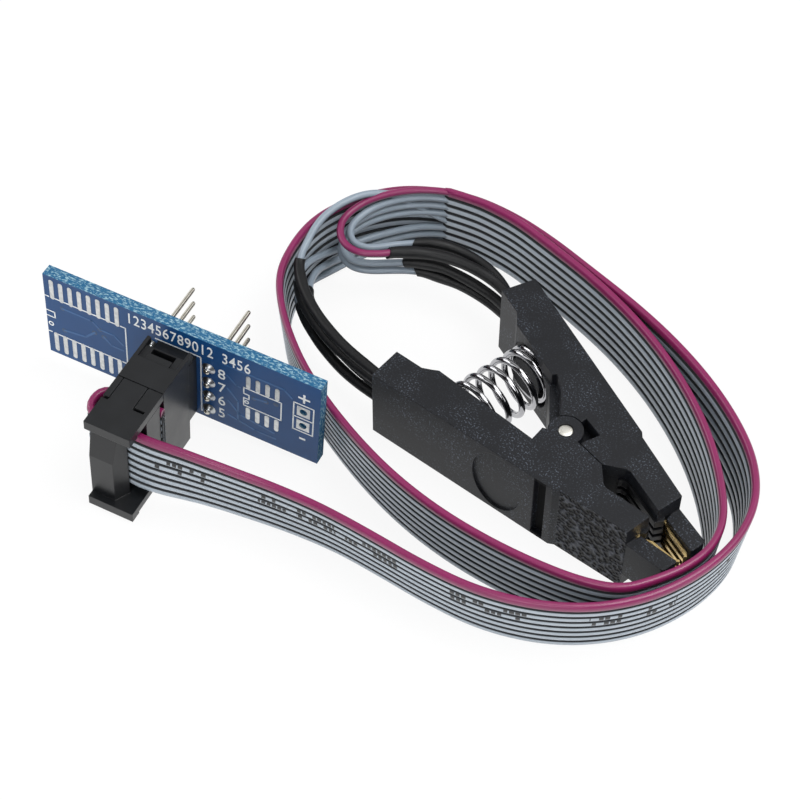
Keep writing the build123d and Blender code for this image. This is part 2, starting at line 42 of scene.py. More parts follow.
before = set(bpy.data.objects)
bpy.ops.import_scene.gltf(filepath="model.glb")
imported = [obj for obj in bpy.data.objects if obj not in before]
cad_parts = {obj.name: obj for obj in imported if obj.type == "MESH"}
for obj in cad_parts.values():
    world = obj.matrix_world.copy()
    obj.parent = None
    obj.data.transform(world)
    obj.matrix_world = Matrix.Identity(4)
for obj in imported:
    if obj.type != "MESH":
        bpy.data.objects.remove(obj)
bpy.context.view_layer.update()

MM = 0.001
PITCH = 1.27 * MM           # conductors, contacts and chip pads
GRID = 2.54 * MM            # header and pin grid

# the clip, as its solids have it
MID = 5.2 * MM              # middle plane of the clip
THICK = 10.4 * MM           # from its lower side to its upper side
PIN_RADIUS = 0.925 * MM
SPRING_AT = (-12.1 * MM, 0.0, MID)
SPRING_SEAT = 6.2 * MM      # from the seam between the jaws to each seat of the spring
GROOVE_AT, GROOVE_HALF = 3.9 * MM, 0.83 * MM    # the cross groove in each jaw's side: middle, half width
GRIP_FROM, GRIP_TO, GRIP_FADE = 6.2 * MM, 15.2 * MM, 0.3 * MM   # the grained grip, and how far it fades in
TAIL = (-19.6 * MM, 10.103 * MM)    # where a lead meets its contact strip, x and distance from the seam
LANES = [MID + PITCH * (1.5 - i) for i in range(4)]     # heights of the four strips

# the board's own axes: along it, back through it, and up it, from its front left lower corner
BOARD_AT = np.array([-52.39, -38.19, 3.55]) * MM
BOARD_ALONG = np.array([0.888282, 0.453532, -0.072560])
BOARD_BACK = np.array([-0.455494, 0.890153, -0.012326])
BOARD_UP = np.array([0.059000, 0.044000, 0.997300])
BOARD_SIZE = np.array([36.9, 1.6, 14.1]) * MM
HEADER_UP = 5.61 * MM                       # up the board, the middle of the header and the pins
ROWS = [HEADER_UP + GRID * (1.5 - i) for i in range(4)]     # heights of the pins on the board
PIN_COLUMNS = (14.64 * MM, 22.26 * MM)      # along the board, the two strips of pins behind it
HEADER_AT = 18.1 * MM                       # along the board, the middle of the header in front

# ------------------------------------------------------------------ cord routes, metres
# middle of the flat cable seen from above, from its split end to the socket
RIBBON = [(-0.0386, 0.0129), (-0.0352, 0.0149), (-0.0321, 0.016), (-0.0286, 0.017), (-0.024, 0.0175),
          (-0.0175, 0.0181), (-0.011, 0.0182), (-0.0048, 0.0175), (0.001, 0.0162), (0.0065, 0.0143),
          (0.0115, 0.0119), (0.016, 0.009), (0.0198, 0.0058), (0.0216, 0.0022), (0.02175, -0.0016),
          (0.0209, -0.0054), (0.01965, -0.009), (0.0162, -0.0117), (0.0114, -0.0141), (0.006, -0.0162),
          (0.0, -0.0179), (-0.0064, -0.0189), (-0.013, -0.0191), (-0.02, -0.0186), (-0.0263, -0.0176),
          (-0.0316, -0.016), (-0.0364, -0.014), (-0.0408, -0.0112), (-0.0436, -0.0072), (-0.0453, -0.0032),
          (-0.0457, 0.0006), (-0.045, 0.0054), (-0.0424, 0.0108), (-0.037, 0.0154), (-0.0308, 0.0177),
          (-0.0245, 0.0187), (-0.0176, 0.0191), (-0.01, 0.0195), (-0.003, 0.0193), (0.0038, 0.0184),
          (0.0102, 0.0167), (0.0156, 0.0143), (0.0196, 0.0109), (0.022, 0.0066), (0.02295, 0.0018),
          (0.0228, -0.0032), (0.0216, -0.0082), (0.019, -0.0132), (0.015, -0.0176), (0.0098, -0.0212),
          (0.0038, -0.0236), (-0.0024, -0.0255), (-0.0084, -0.0275), (-0.0138, -0.03), (-0.0186, -0.0332),
          (-0.0229, -0.0366), (-0.02755, -0.0401)]
# each lead in turn from the split to its soldered joint, and from there to the jaw's end in its sleeve
UPPER_WIRES = [
    [(-0.0411, 0.0103, 0.01092), (-0.0431, 0.0068, 0.01062), (-0.0441, 0.0033, 0.0101),
     (-0.0435, -0.0001, 0.00965), (-0.0409, -0.0019, 0.0093), (-0.038, -0.0014, 0.0092),
     (-0.0362, 0.0009, 0.0091)],
    [(-0.041, 0.0104, 0.00965), (-0.0428, 0.0072, 0.00935), (-0.0436, 0.0041, 0.00885),
     (-0.0431, 0.0011, 0.0084), (-0.0408, -0.0003, 0.0082), (-0.0386, 0.0008, 0.0081),
     (-0.0372, 0.004, 0.008)],
    [(-0.0411, 0.0103, 0.00838), (-0.0431, 0.0068, 0.00808), (-0.044, 0.0034, 0.0076),
     (-0.0434, 0.0001, 0.0072), (-0.0409, -0.0016, 0.007), (-0.0382, -0.0012, 0.007),
     (-0.0353, 0.0029, 0.007)],
    [(-0.0411, 0.0103, 0.00711), (-0.0431, 0.0068, 0.00681), (-0.0441, 0.0035, 0.0063),
     (-0.0437, 0.0001, 0.0059), (-0.0412, -0.0016, 0.0057), (-0.0382, -0.0012, 0.0057),
     (-0.035, 0.0034, 0.0056)]]
UPPER_SLEEVES = [
    [(-0.0353, 0.0027, 0.00905), (-0.0336, 0.0051, 0.0089), (-0.0308, 0.0076, 0.0086),
     (-0.0271, 0.0095, 0.0081), (-0.0236, 0.0104, 0.0073)],
    [(-0.0348, 0.0078, 0.008), (-0.0324, 0.01, 0.0074), (-0.0292, 0.0114, 0.0068),
     (-0.0256, 0.0117, 0.0062), (-0.0228, 0.0109, 0.00586)],
    [(-0.0342, 0.0044, 0.007), (-0.0326, 0.0062, 0.0068), (-0.0308, 0.0075, 0.0065),
     (-0.0271, 0.0093, 0.0055), (-0.0236, 0.0102, 0.00475)],
    [(-0.0332, 0.0055, 0.0054), (-0.0312, 0.007, 0.0049), (-0.0288, 0.0085, 0.0044),
     (-0.0262, 0.0095, 0.0038), (-0.0234, 0.0101, 0.00335)]]
LOWER_WIRES = [
    [(-0.0411, 0.0106, 0.0078), (-0.0432, 0.0078, 0.0102), (-0.0444, 0.0044, 0.0112),
     (-0.0448, 0.0007, 0.0112), (-0.0445, -0.0028, 0.0105), (-0.0425, -0.0066, 0.0094)],
    [(-0.041, 0.0103, 0.00438), (-0.0429, 0.0068, 0.00378), (-0.0441, 0.003, 0.0036),
     (-0.0441, -0.0012, 0.0044), (-0.0434, -0.0052, 0.0059), (-0.0413, -0.0084, 0.007)],
    [(-0.041, 0.0103, 0.00311), (-0.0429, 0.0068, 0.00251), (-0.0439, 0.003, 0.0022),
     (-0.0438, -0.0008, 0.0027), (-0.043, -0.0042, 0.004), (-0.0408, -0.0069, 0.0053)],
    [(-0.041, 0.0103, 0.00184), (-0.0429, 0.0068, 0.00124), (-0.044, 0.0028, 0.0009),
     (-0.044, -0.0016, 0.001), (-0.0433, -0.0058, 0.0021), (-0.0408, -0.0091, 0.0037)]]
LOWER_SLEEVES = [
    [(-0.041, -0.0084, 0.0089), (-0.0381, -0.0099, 0.0086), (-0.0345, -0.0108, 0.0082),
     (-0.0304, -0.0112, 0.0078), (-0.0264, -0.011, 0.00745), (-0.0232, -0.0105, 0.0072)],
    [(-0.0385, -0.0101, 0.0073), (-0.035, -0.0111, 0.0069), (-0.0312, -0.0115, 0.0065),
     (-0.0273, -0.0113, 0.0061), (-0.0238, -0.0107, 0.00588)],
    [(-0.038, -0.0092, 0.006), (-0.0347, -0.0103, 0.0057), (-0.0309, -0.0108, 0.0053),
     (-0.0271, -0.0107, 0.0049), (-0.0236, -0.0103, 0.0046)],
    [(-0.037, -0.0106, 0.0047), (-0.0333, -0.0115, 0.0044), (-0.0293, -0.0118, 0.004),
     (-0.0256, -0.0115, 0.0036), (-0.0226, -0.0108, 0.0033)]]
# where every lead starts, inside the cable's end, seen from above
SPLIT = [(-0.0375, 0.01362), (-0.0386, 0.0129)]
# from this point of the route the cable leaves the floor and climbs to the socket: distance on, rise
FLOOR_FROM = 53
RAMP = [(0.0, 0.0), (0.003, 0.0002), (0.006, 0.0008), (0.009, 0.0015), (0.012, 0.0021), (0.015, 0.00245),
        (0.019, 0.0027)]
# the cable's tail folded over the socket's cover: along the board and back from its face, at the height of
# the header's middle
FOLD = [(0.0172, -0.01265), (0.0132, -0.01265), (0.0132, -0.00875), (0.0172, -0.00875), (0.02115, -0.00875)]
# how high its soldered leads hold its split end off the floor, at points of its route
LIFT = [(0, 0.0015), (2, 0.0013), (4, 0.0008), (6, 0.0002), (8, 0.0)]
# how far the cable leans outwards, degrees, at points of its route
LEAN = [(0, 0), (5, 3), (10, 4), (18, 5), (23, 5), (28, 3), (36, 4), (43, 6), (47, 9), (52, 9), (55, 6),
        (57, 0)]
# from this point of its route it turns square to the board, over so many points
SQUARE_FROM, SQUARE_OVER = 54.5, 2.5
# from one ring of points to the next
RIBBON_STEP, LEAD_STEP = 0.62 * MM, 0.35 * MM
# a sleeve's swelling over its soldered joint: how much, how far from its end, how long
SWELL, SWELL_AT, SWELL_LONG = 0.10 * MM, 3.2 * MM, 1.6 * MM
# its slow wave and its slanted cut end: how much, and over what length; and how much wider the first one is
WAVE, WAVE_LONG = 0.012 * MM, 0.9 * MM
SLANT, SLANT_LONG = 0.35 * MM, 0.6 * MM
FIRST_WIDER = 0.06 * MM


# ------------------------------------------------------------------ the board's marks, mm on its face
def dashes(a0, b0, a1, b1, count, share=0.55):
    """Even dashes along a line, each of them the given share of its stretch."""
    t = (np.arange(count)[:, None] + np.array([0.5 - share / 2, 0.5 + share / 2])) / count
    return [(a0 + (a1 - a0) * p, b0 + (b1 - b0) * p, a0 + (a1 - a0) * q, b0 + (b1 - b0) * q) for p, q in t]


def chains(*lines):
    """Strokes (along, up, along, up) from each point of a line to the next."""
    return [(*p, *q) for points in lines for p, q in zip(points, points[1:])]


# the wide chip's outline and its notch
OUTLINES = chains([(0.05, 10.35), (0.55, 10.35)], [(10.45, 10.4), (11.1, 10.4), (11.1, 3.8), (10.45, 3.8)],
                  [(0.05, 3.85), (0.5, 3.85)], [(0.05, 7.75), (1.2, 7.75), (1.2, 6.75), (0.05, 6.75)])
OUTLINES += dashes(1.09, 10.4, 9.98, 10.4, 7) + dashes(1.09, 3.8, 9.98, 3.8, 7)
# the narrow chip's outline with its notch, the supply holes' boxes, and the header's corner beside the socket
OUTLINES += chains([(26.95, 6.75), (26.95, 5.4), (31.9, 5.4), (31.9, 8.7), (26.95, 8.7), (26.95, 7.6),
                    (27.65, 7.6), (27.65, 6.8), (26.95, 6.8)],
                   [(33.5, 9.95), (36.1, 9.95), (36.1, 4.95), (33.5, 4.95), (33.5, 9.95)],
                   [(33.5, 7.45), (36.1, 7.45)], [(15.2, 10.9), (21.25, 10.9), (21.25, 0.9)])
# marks of the first pins: along, up, radius
RINGS = [(0.55, 5.4, 0.3), (27.35, 6.15, 0.24)]
# plain numbers: text, along, up, size, share of the letter's own width
NUMBERS = [("8", 24.0, 9.25, 2.4, 0.9), ("7", 24.0, 6.75, 2.4, 0.9), ("6", 24.0, 4.3, 2.4, 0.9),
           ("5", 24.0, 1.95, 2.4, 0.9), ("+", 34.8, 11.0, 3.2, 1.0), ("-", 34.8, 3.9, 3.2, 1.0)]
NUMBERS += [(mark, 11.7 + 0.98 * k, 12.45 - 0.01 * k, 2.5, 0.72)
            for k, mark in enumerate("123456789012 3456") if mark != " "]
# plated holes: along, up; and the tracks between them
VIAS = [(2.4, 9.1), (7.5, 8.1), (6.7, 7.1), (8.0, 7.0), (2.4, 5.1), (28.3, 7.4), (29.9, 7.7), (31.2, 8.0),
        (12.6, 5.2)]
TRACKS = chains([(2.4, 9.1), (6.4, 9.1), (7.5, 8.1), (9.4, 8.1), (10.6, 7.0)],
                [(6.7, 7.1), (5.4, 5.6), (2.4, 5.1)], [(8.0, 7.0), (9.0, 6.0), (10.6, 6.0)],
                [(24.8, 9.6), (26.0, 8.4), (26.4, 8.4)],
                [(24.8, 7.2), (26.2, 5.6), (26.2, 2.0)], [(24.9, 5.0), (26.4, 3.2), (31.0, 2.4)],
                [(24.9, 2.3), (28.6, 1.4), (31.2, 1.4)], [(24.4, 11.4), (32.2, 11.4), (33.2, 10.4)],
                [(28.3, 7.4), (29.9, 7.7)])
INK_THICK = 0.025 * MM
NUMBER_HALF = 0.013 * MM    # half the thickness of a printed number
TRACK_WIDE, TRACK_THICK = 0.28 * MM, 0.02 * MM
PAD_WIDE, PAD_THICK = 0.6 * MM, 0.055 * MM
# chip pads: node, first pad along, how many, heights of the two rows, height of a pad
PADS = [("sop16_pads", 1.09, 8, (11.83, 2.27), 3.4), ("sop8_pads", 27.52, 4, (9.91, 4.09), 2.2)]

# ------------------------------------------------------------------ the cable's print and the stage, metres
# middles and half lengths of the groups of ticks, along the cable
PRINT_GROUPS = [(0.3067, 0.0037), (0.2957, 0.0018), (0.2899, 0.0026), (0.2824, 0.0036), (0.2679, 0.0047),
                (0.2544, 0.0022), (0.2484, 0.0018), (0.2395, 0.0008)]
FLOOR_SIZE, FLOOR_AT = 3.0, -0.05 * MM
# lamps: name, place, size, share of the main lamp's power
LAMPS = [("key", (0.14, 0.12, 0.42), 0.30, 1.0), ("fill", (0.24, -0.32, 0.30), 0.34, 0.45),
         ("side", (-0.40, -0.18, 0.24), 0.26, 0.4)]
LAMP_TARGET = (-0.012, -0.004, 0.004)
CAMERA_AT, CAMERA_TARGET = (0.09617, -0.0983, 0.18102), (-0.02195, -0.00711, 0.0)
SIDE_CARD = (-0.503, 0.388, 0.771)      # direction of the dimmer card that the jaws' upper sides mirror


# ------------------------------------------------------------------ settings that a user would change
def linear(code):
    """A colour written as sRGB hex, turned to the linear light that shaders use."""
    value = np.array([int(code[i:i + 2], 16) for i in (1, 3, 5)]) / 255
    light = np.where(value <= 0.04045, value / 12.92, ((value + 0.055) / 1.055) ** 2.4)
    return (*(float(x) for x in light), 1.0)


def colour(name, code, words):
    """A colour that a user may change, given as sRGB hex."""
    return bpy.props.FloatVectorProperty(name=name, description=words, subtype="COLOR", size=4,
                                         min=0.0, max=1.0, default=linear(code))


def length(name, value, words):
    """A length that a user may change, in metres."""
    return bpy.props.FloatProperty(name=name, description=words, default=value, min=0.0, precision=5,
                                   subtype="DISTANCE", unit="LENGTH")


class ClipSettings(bpy.types.PropertyGroup):
    """Colours and sizes of the jaws, their contacts and the spring"""
    jaw_colour: colour("Jaws", "#080A10", "Moulded jaws and their handles")
    comb_colour: colour("Combs", "#0C0D0F", "Ribs between the contact strips")
    gold: colour("Contacts", "#E8C277", "Gold plating of the contact strips")
    pin_steel: colour("Hinge pin", "#FCFBF4", "Steel of the hinge pin")
    chrome: colour("Spring", "#B2B2B5", "Bright plating of the spring")
    spring_radius: length("Coil radius", 3.47 * MM, "Spring's axis to the middle of its wire")
    spring_wire: length("Spring wire", 0.41 * MM, "Radius of the spring's wire")
    spring_turns: bpy.props.FloatProperty(name="Turns", description="Turns of the spring", default=7.0,
                                          min=3.0)
    grain: length("Grain", 0.5 * MM, "Size of the leather-like grain on the grip faces")


class CableSettings(bpy.types.PropertyGroup):
    """Colours and sizes of the flat cable, the leads and the sleeves"""
    grey: colour("Grey", "#AFB7C0", "Insulation of the plain conductors")
    marked: colour("Marked edge", "#862058", "Insulation of the first conductor")
    print_ink: colour("Print", "#15171A", "Ink of the marks on the cable")
    shrink: colour("Sleeves", "#08090A", "Heat-shrink sleeves over the soldered joints")
    ridge: length("Cable thickness", 0.9 * MM, "Thickness of the cable over a conductor")
    web: length("Web", 0.26 * MM, "Thickness of the web between two conductors")
    wire_radius: length("Lead radius", 0.475 * MM, "Radius of one insulated lead")
    sleeve_radius: length("Sleeve radius", 0.66 * MM, "Radius of a shrunk sleeve")


class BoardSettings(bpy.types.PropertyGroup):
    """Colours and sizes of the board, its pins and the socket"""
    mask: colour("Board", "#124C82", "Solder mask of the adapter board")
    edge: colour("Board edges", "#8FB1BD", "Sawn glass laminate at the board's edges")
    ink: colour("Marks", "#EEF1F1", "White marks on the board")
    tin: colour("Pins", "#D9D6CC", "Bright tin of pins and contacts")
    pad_tin: colour("Pads", "#F4F4F2", "Tinned chip pads")
    solder: colour("Solder", "#C9CBCC", "Soldered joints")
    plastic: colour("Socket", "#0C0D0F", "Socket, its cover and strain relief, and pin strips")
    line: length("Mark width", 0.17 * MM, "Width of a line on the board")


class StageSettings(bpy.types.PropertyGroup):
    """Floor, light and lens"""
    floor: colour("Floor", "#F4F4F4", "Floor under the clip")
    lamp_power: bpy.props.FloatProperty(name="Lamps", description="Power of the main lamp", default=1.5,
                                        min=0.0, unit="POWER")
    sky: bpy.props.FloatProperty(name="Sky", description="Strength of the even light all round", default=0.6,
                                 min=0.0)
    lens: bpy.props.FloatProperty(name="Lens", description="Focal length", default=85.5, min=1.0,
                                  unit="CAMERA")


# ------------------------------------------------------------------ making surfaces
def unit(vectors):
    """Each vector at length one."""
    return vectors / np.maximum(np.linalg.norm(vectors, axis=-1, keepdims=True), 1e-12)


def cells(rows, cols, wrap=True):
    """Corner numbers of the cells of a grid of points; wrap joins its last column to its first."""
    r = np.arange(rows - 1)[:, None] * cols
    c = np.arange(cols if wrap else cols - 1)[None, :]
    n = (c + 1) % cols
    return np.stack([r + c, r + n, r + cols + n, r + cols + c], axis=-1).reshape(-1, 4)


def surface(name, grids, wrap=True, caps=True, smooth=True, sharp=50.0):
    """A piece from grids of points, each rows by columns.

    Every cell is one four-sided face. Columns run round each shape, and its first and last rows
    are closed by a flat face.
    """
    points, faces, start = [], [], 0
    for grid in grids:
        rows, cols = grid.shape[:2]
        points.append(grid.reshape(-1, 3))
        faces += (cells(rows, cols, wrap) + start).tolist()
        if caps:
            ring = np.arange(cols) + start
            faces += [ring[::-1].tolist(), (ring + (rows - 1) * cols).tolist()]
        start += rows * cols
    mesh = bpy.data.meshes.new(name)
    mesh.from_pydata(np.concatenate(points), [], faces)
    mesh.update()
    if smooth:
        mesh.shade_smooth()
        mesh.set_sharp_from_angle(angle=math.radians(sharp))
    piece = bpy.data.objects.new(name, mesh)
    bpy.context.scene.collection.objects.link(piece)
    return piece


def note(piece, name, values):
    """Stores a value, or a triple, for every point of a piece, for its material to read."""
    values = np.asarray(values, np.float32)
    kind, field = ("FLOAT_VECTOR", "vector") if values.ndim > 1 else ("FLOAT", "value")
    store = piece.data.attributes.new(name, kind, "POINT")
    store.data.foreach_set(field, values.ravel())


def route_line(points, step):
    """Points about a step apart along the smooth spline that a route's points control."""
    curve = bpy.data.curves.new("route", "CURVE")
    curve.dimensions = "3D"
    curve.resolution_u = 24
    spline = curve.splines.new("NURBS")
    spline.points.add(len(points) - 1)
    spline.points.foreach_set("co", np.c_[points, np.ones(len(points))].ravel())
    spline.order_u = 3
    spline.use_endpoint_u = True
    holder = bpy.data.objects.new("route", curve)
    mesh = bpy.data.meshes.new_from_object(holder)
    line = np.zeros(len(mesh.vertices) * 3)
    mesh.vertices.foreach_get("co", line)
    line = line.reshape(-1, 3)
    bpy.data.objects.remove(holder)
    bpy.data.curves.remove(curve)
    bpy.data.meshes.remove(mesh)
    along = distance(line)
    at = np.linspace(0, along[-1], max(int(round(along[-1] / step)), 2) + 1)
    return np.stack([np.interp(at, along, line[:, k]) for k in range(3)], axis=1)


def distance(line):
    """Distance along a line of points, from its start."""
    return np.concatenate([[0.0], np.cumsum(np.linalg.norm(np.diff(line, axis=0), axis=1))])


def carry(line, profile, up):
    """A profile carried along a line of points.

    At each point, up is squared to the line and side is up cross forwards. The profile's first
    number goes along side and its second along up. It may differ from row to row.
    """
    forwards = unit(np.gradient(line, axis=0))
    up = np.broadcast_to(up, line.shape)
    up = unit(up - (up * forwards).sum(1, keepdims=True) * forwards)
    side = np.cross(up, forwards)
    profile = np.broadcast_to(profile, (len(line), *np.shape(profile)[-2:]))
    return line[:, None] + profile[..., :1] * side[:, None] + profile[..., 1:] * up[:, None]


def round_angles(sides):
    """Angles of so many points evenly round a circle."""
    return np.arange(sides) * 2 * math.pi / sides


def circle(radius, sides):
    """Points round a circle; a column of radii gives a circle for each row."""
    turn = round_angles(sides)
    ring = np.stack([np.cos(turn), np.sin(turn)], axis=-1)
    return np.asarray(radius)[..., None, None] * ring


def turned(profile, centre, axis, sides=24):
    """A turned shape: each point of the profile, radius and height, makes a circle round the axis."""
    profile, centre, axis = np.asarray(profile), np.asarray(centre, float), unit(np.asarray(axis, float))
    other = unit(np.cross(axis, [0.31, 0.17, 0.93] if abs(axis[2]) < 0.9 else [1.0, 0.0, 0.0]))
    up = np.cross(axis, other)
    ring = circle(profile[:, 0], sides)
    spine = centre + profile[:, 1:] * axis
    return spine[:, None] + ring[..., :1] * other + ring[..., 1:] * up


def on_board(along, back, up):
    """Places on the board, from distances along it, back through it and up it."""
    along, back, up = np.broadcast_arrays(along, back, up)
    return (BOARD_AT + along[..., None] * BOARD_ALONG + back[..., None] * BOARD_BACK
            + up[..., None] * BOARD_UP)


# ------------------------------------------------------------------ making materials
def add(tree, kind, inputs=None, out=None, **settings):
    """Adds one node with its settings, and sets or links its inputs by name or number.

    Gives the output of the name asked for, or else the first one that the settings switch on.
    """
    node = tree.nodes.new("ShaderNode" + kind)
    for key, value in settings.items():
        setattr(node, key, value)
    for key, value in (inputs or {}).items():
        if isinstance(value, bpy.types.NodeSocket):
            tree.links.new(value, node.inputs[key])
        else:
            node.inputs[key].default_value = value
    if out is not None:
        return node.outputs[out]
    return next((socket for socket in node.outputs if socket.enabled), None)


def start_material(name):
    """A new material, and its node tree, still empty."""
    material = bpy.data.materials.new(name)
    material.use_nodes = True
    material.node_tree.nodes.clear()
    return material, material.node_tree


def finish_material(material, inputs):
    """Gives a material its one shader, with plain values and patterns on the shader's own sockets."""
    shader = add(material.node_tree, "BsdfPrincipled", inputs)
    add(material.node_tree, "OutputMaterial", {"Surface": shader})
    return material


def dress(target, material):
    """Gives a piece or a CAD node one material all over."""
    target.data.materials.clear()
    target.data.materials.append(material)


def node_of(name):
    """The object that holds a CAD node's mesh."""
    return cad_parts[name]


def jaw_plastic(cfg):
    """ABS, moulded in a spark-eroded tool: satin, near black, with a fine bright grit; the grip faces
    have a coarse leather-like grain."""
    material, tree = start_material("Moulded ABS, spark-eroded")
    place = add(tree, "TexCoord", out="Object")
    # grit of 0.2 mm, which shines in drifts some millimetres across
    grit = add(tree, "TexNoise", {"Vector": place, "Scale": 1 / (0.2 * MM), "Detail": 2.0})
    cloud = add(tree, "TexNoise", {"Vector": place, "Scale": 1 / (5 * MM), "Detail": 3.0})
    tint = add(tree, "MapRange", {"Value": cloud, "To Max": 0.5})
    skin = add(tree, "Mix", {0: tint, 6: cfg.jaw_colour, 7: linear("#12151B")}, data_type="RGBA")
    spark = add(tree, "MapRange", {"Value": grit, "From Min": 0.56, "From Max": 0.72})
    drift = add(tree, "MapRange", {"Value": cloud, "From Min": 0.42, "From Max": 0.62,
                                   "To Min": 0.08, "To Max": 0.75})
    spark = add(tree, "Math", {0: spark, 1: drift}, operation="MULTIPLY")
    skin = add(tree, "Mix", {0: spark, 6: skin, 7: linear("#6A7280")}, data_type="RGBA")
    # the grip lies between two places along the jaw, on faces that look away from the other jaw
    x, y, z = add(tree, "SeparateXYZ", {0: place}).node.outputs
    after = add(tree, "MapRange", {"Value": x, "From Min": GRIP_FROM, "From Max": GRIP_FROM + GRIP_FADE})
    before = add(tree, "MapRange", {"Value": x, "From Min": GRIP_TO, "From Max": GRIP_TO - GRIP_FADE})
    band = add(tree, "Math", {0: after, 1: before}, operation="MULTIPLY")
    facing = add(tree, "SeparateXYZ", {0: add(tree, "NewGeometry", out="True Normal")}, out=1)
    outward = add(tree, "Math", {0: facing, 1: y}, operation="MULTIPLY")
    outward = add(tree, "MapRange", {"Value": outward, "From Min": 1.5 * MM, "From Max": 2.2 * MM})
    grip = add(tree, "Math", {0: band, 1: outward}, operation="MULTIPLY")
    # leather grain: painted shade, near black, in its valleys, and its ridges painted paler
    leather = add(tree, "TexVoronoi", {"Vector": place, "Scale": 1 / cfg.grain, "Randomness": 0.9},
                  feature="SMOOTH_F1")
    for low, high, code in ((0.42, 0.3, "#020203"), (0.44, 0.62, "#5C5F66")):
        part = add(tree, "MapRange", {"Value": leather, "From Min": low, "From Max": high})
        part = add(tree, "Math", {0: part, 1: grip}, operation="MULTIPLY")
        skin = add(tree, "Mix", {0: part, 6: skin, 7: linear(code)}, data_type="RGBA")
    # the cross groove's floor holds no light
    slot = add(tree, "Math", {0: x, 1: GROOVE_AT, 2: GROOVE_HALF}, operation="COMPARE")
    slot = add(tree, "Math", {0: slot, 1: outward}, operation="MULTIPLY")
    skin = add(tree, "Mix", {0: slot, 6: skin, 7: linear("#010102")}, data_type="RGBA")
    rough = add(tree, "MapRange", {"Value": grip, "To Min": 0.5, "To Max": 0.62})
    rough = add(tree, "Mix", {0: slot, 2: rough, 3: 1.0})
    edge = add(tree, "Bevel", {"Radius": 0.16 * MM}, samples=4)
    fine = add(tree, "Bump", {"Height": grit, "Strength": 0.35, "Distance": 0.03 * MM, "Normal": edge})
    coarse = add(tree, "Bump", {"Height": leather, "Strength": grip, "Distance": 1.8 * MM, "Normal": fine})
    return finish_material(material, {"Base Color": skin, "Roughness": rough, "Normal": coarse,
                                      "IOR": 1.53, "Specular IOR Level": 0.36})


def comb_plastic(cfg):
    """Nylon, injection moulded and polished: smooth and black, with faint flow marks."""
    material, tree = start_material("Moulded nylon, smooth")
    place = add(tree, "TexCoord", out="Object")
    flow = add(tree, "TexNoise", {"Vector": place, "Scale": 1 / (0.9 * MM), "Detail": 2.0})
    skin = add(tree, "Mix", {0: flow, 6: cfg.comb_colour, 7: linear("#141518")}, data_type="RGBA")
    rough = add(tree, "MapRange", {"Value": flow, "To Min": 0.28, "To Max": 0.46})
    edge = add(tree, "Bevel", {"Radius": 0.08 * MM}, samples=4)
    return finish_material(material, {"Base Color": skin, "Roughness": rough, "Normal": edge,
                                      "IOR": 1.53, "Specular IOR Level": 0.36})


def gold_plate(cfg):
    """Gold plated over sprung bronze: warm metal with faint rolling lines along the strip."""
    material, tree = start_material("Gold plated bronze")
    place = add(tree, "TexCoord", out="Object")
    # a rolling line is 0.12 mm wide and 2 mm long
    stretched = add(tree, "Mapping", {"Vector": place, "Scale": (0.06, 1.0, 1.0)})
    rolled = add(tree, "TexNoise", {"Vector": stretched, "Scale": 1 / (0.12 * MM), "Detail": 1.0})
    skin = add(tree, "Mix", {0: rolled, 6: cfg.gold, 7: linear("#F4DDA6")}, data_type="RGBA")
    rough = add(tree, "MapRange", {"Value": rolled, "To Min": 0.16, "To Max": 0.36})
    return finish_material(material, {"Base Color": skin, "Roughness": rough, "Metallic": 1.0})


def pressed_steel(cfg):
    """Steel pin, cut and pressed in: dull warm grey ends with turning rings."""
    material, tree = start_material("Cut steel pin")
    place = add(tree, "TexCoord", out="Object")
    rings = add(tree, "TexWave", {"Vector": place, "Scale": 1 / (1.1 * MM), "Distortion": 1.5, "Detail": 2.0},
                out=1, wave_type="RINGS", rings_direction="Z")
    wear = add(tree, "TexNoise", {"Vector": place, "Scale": 1 / (0.35 * MM), "Detail": 3.0})
    skin = add(tree, "Mix", {0: wear, 6: cfg.pin_steel, 7: linear("#D2CEC4")}, data_type="RGBA")
    rough = add(tree, "MapRange", {"Value": wear, "To Min": 0.34, "To Max": 0.6})
    bump = add(tree, "Bump", {"Height": rings, "Strength": 0.25, "Distance": 0.01 * MM})
    return finish_material(material, {"Base Color": skin, "Roughness": rough, "Normal": bump,
                                      "Metallic": 1.0})


def bright_chrome(cfg):
    """Spring steel wire, nickel-chrome plated: a mirror with a fine, uneven sheen."""
    material, tree = start_material("Chrome plated wire")
    place = add(tree, "TexCoord", out="Object")
    drawn = add(tree, "TexNoise", {"Vector": place, "Scale": 1 / (0.3 * MM), "Detail": 3.0})
    rough = add(tree, "MapRange", {"Value": drawn, "To Min": 0.04, "To Max": 0.16})
    return finish_material(material, {"Base Color": cfg.chrome, "Roughness": rough, "Metallic": 1.0})


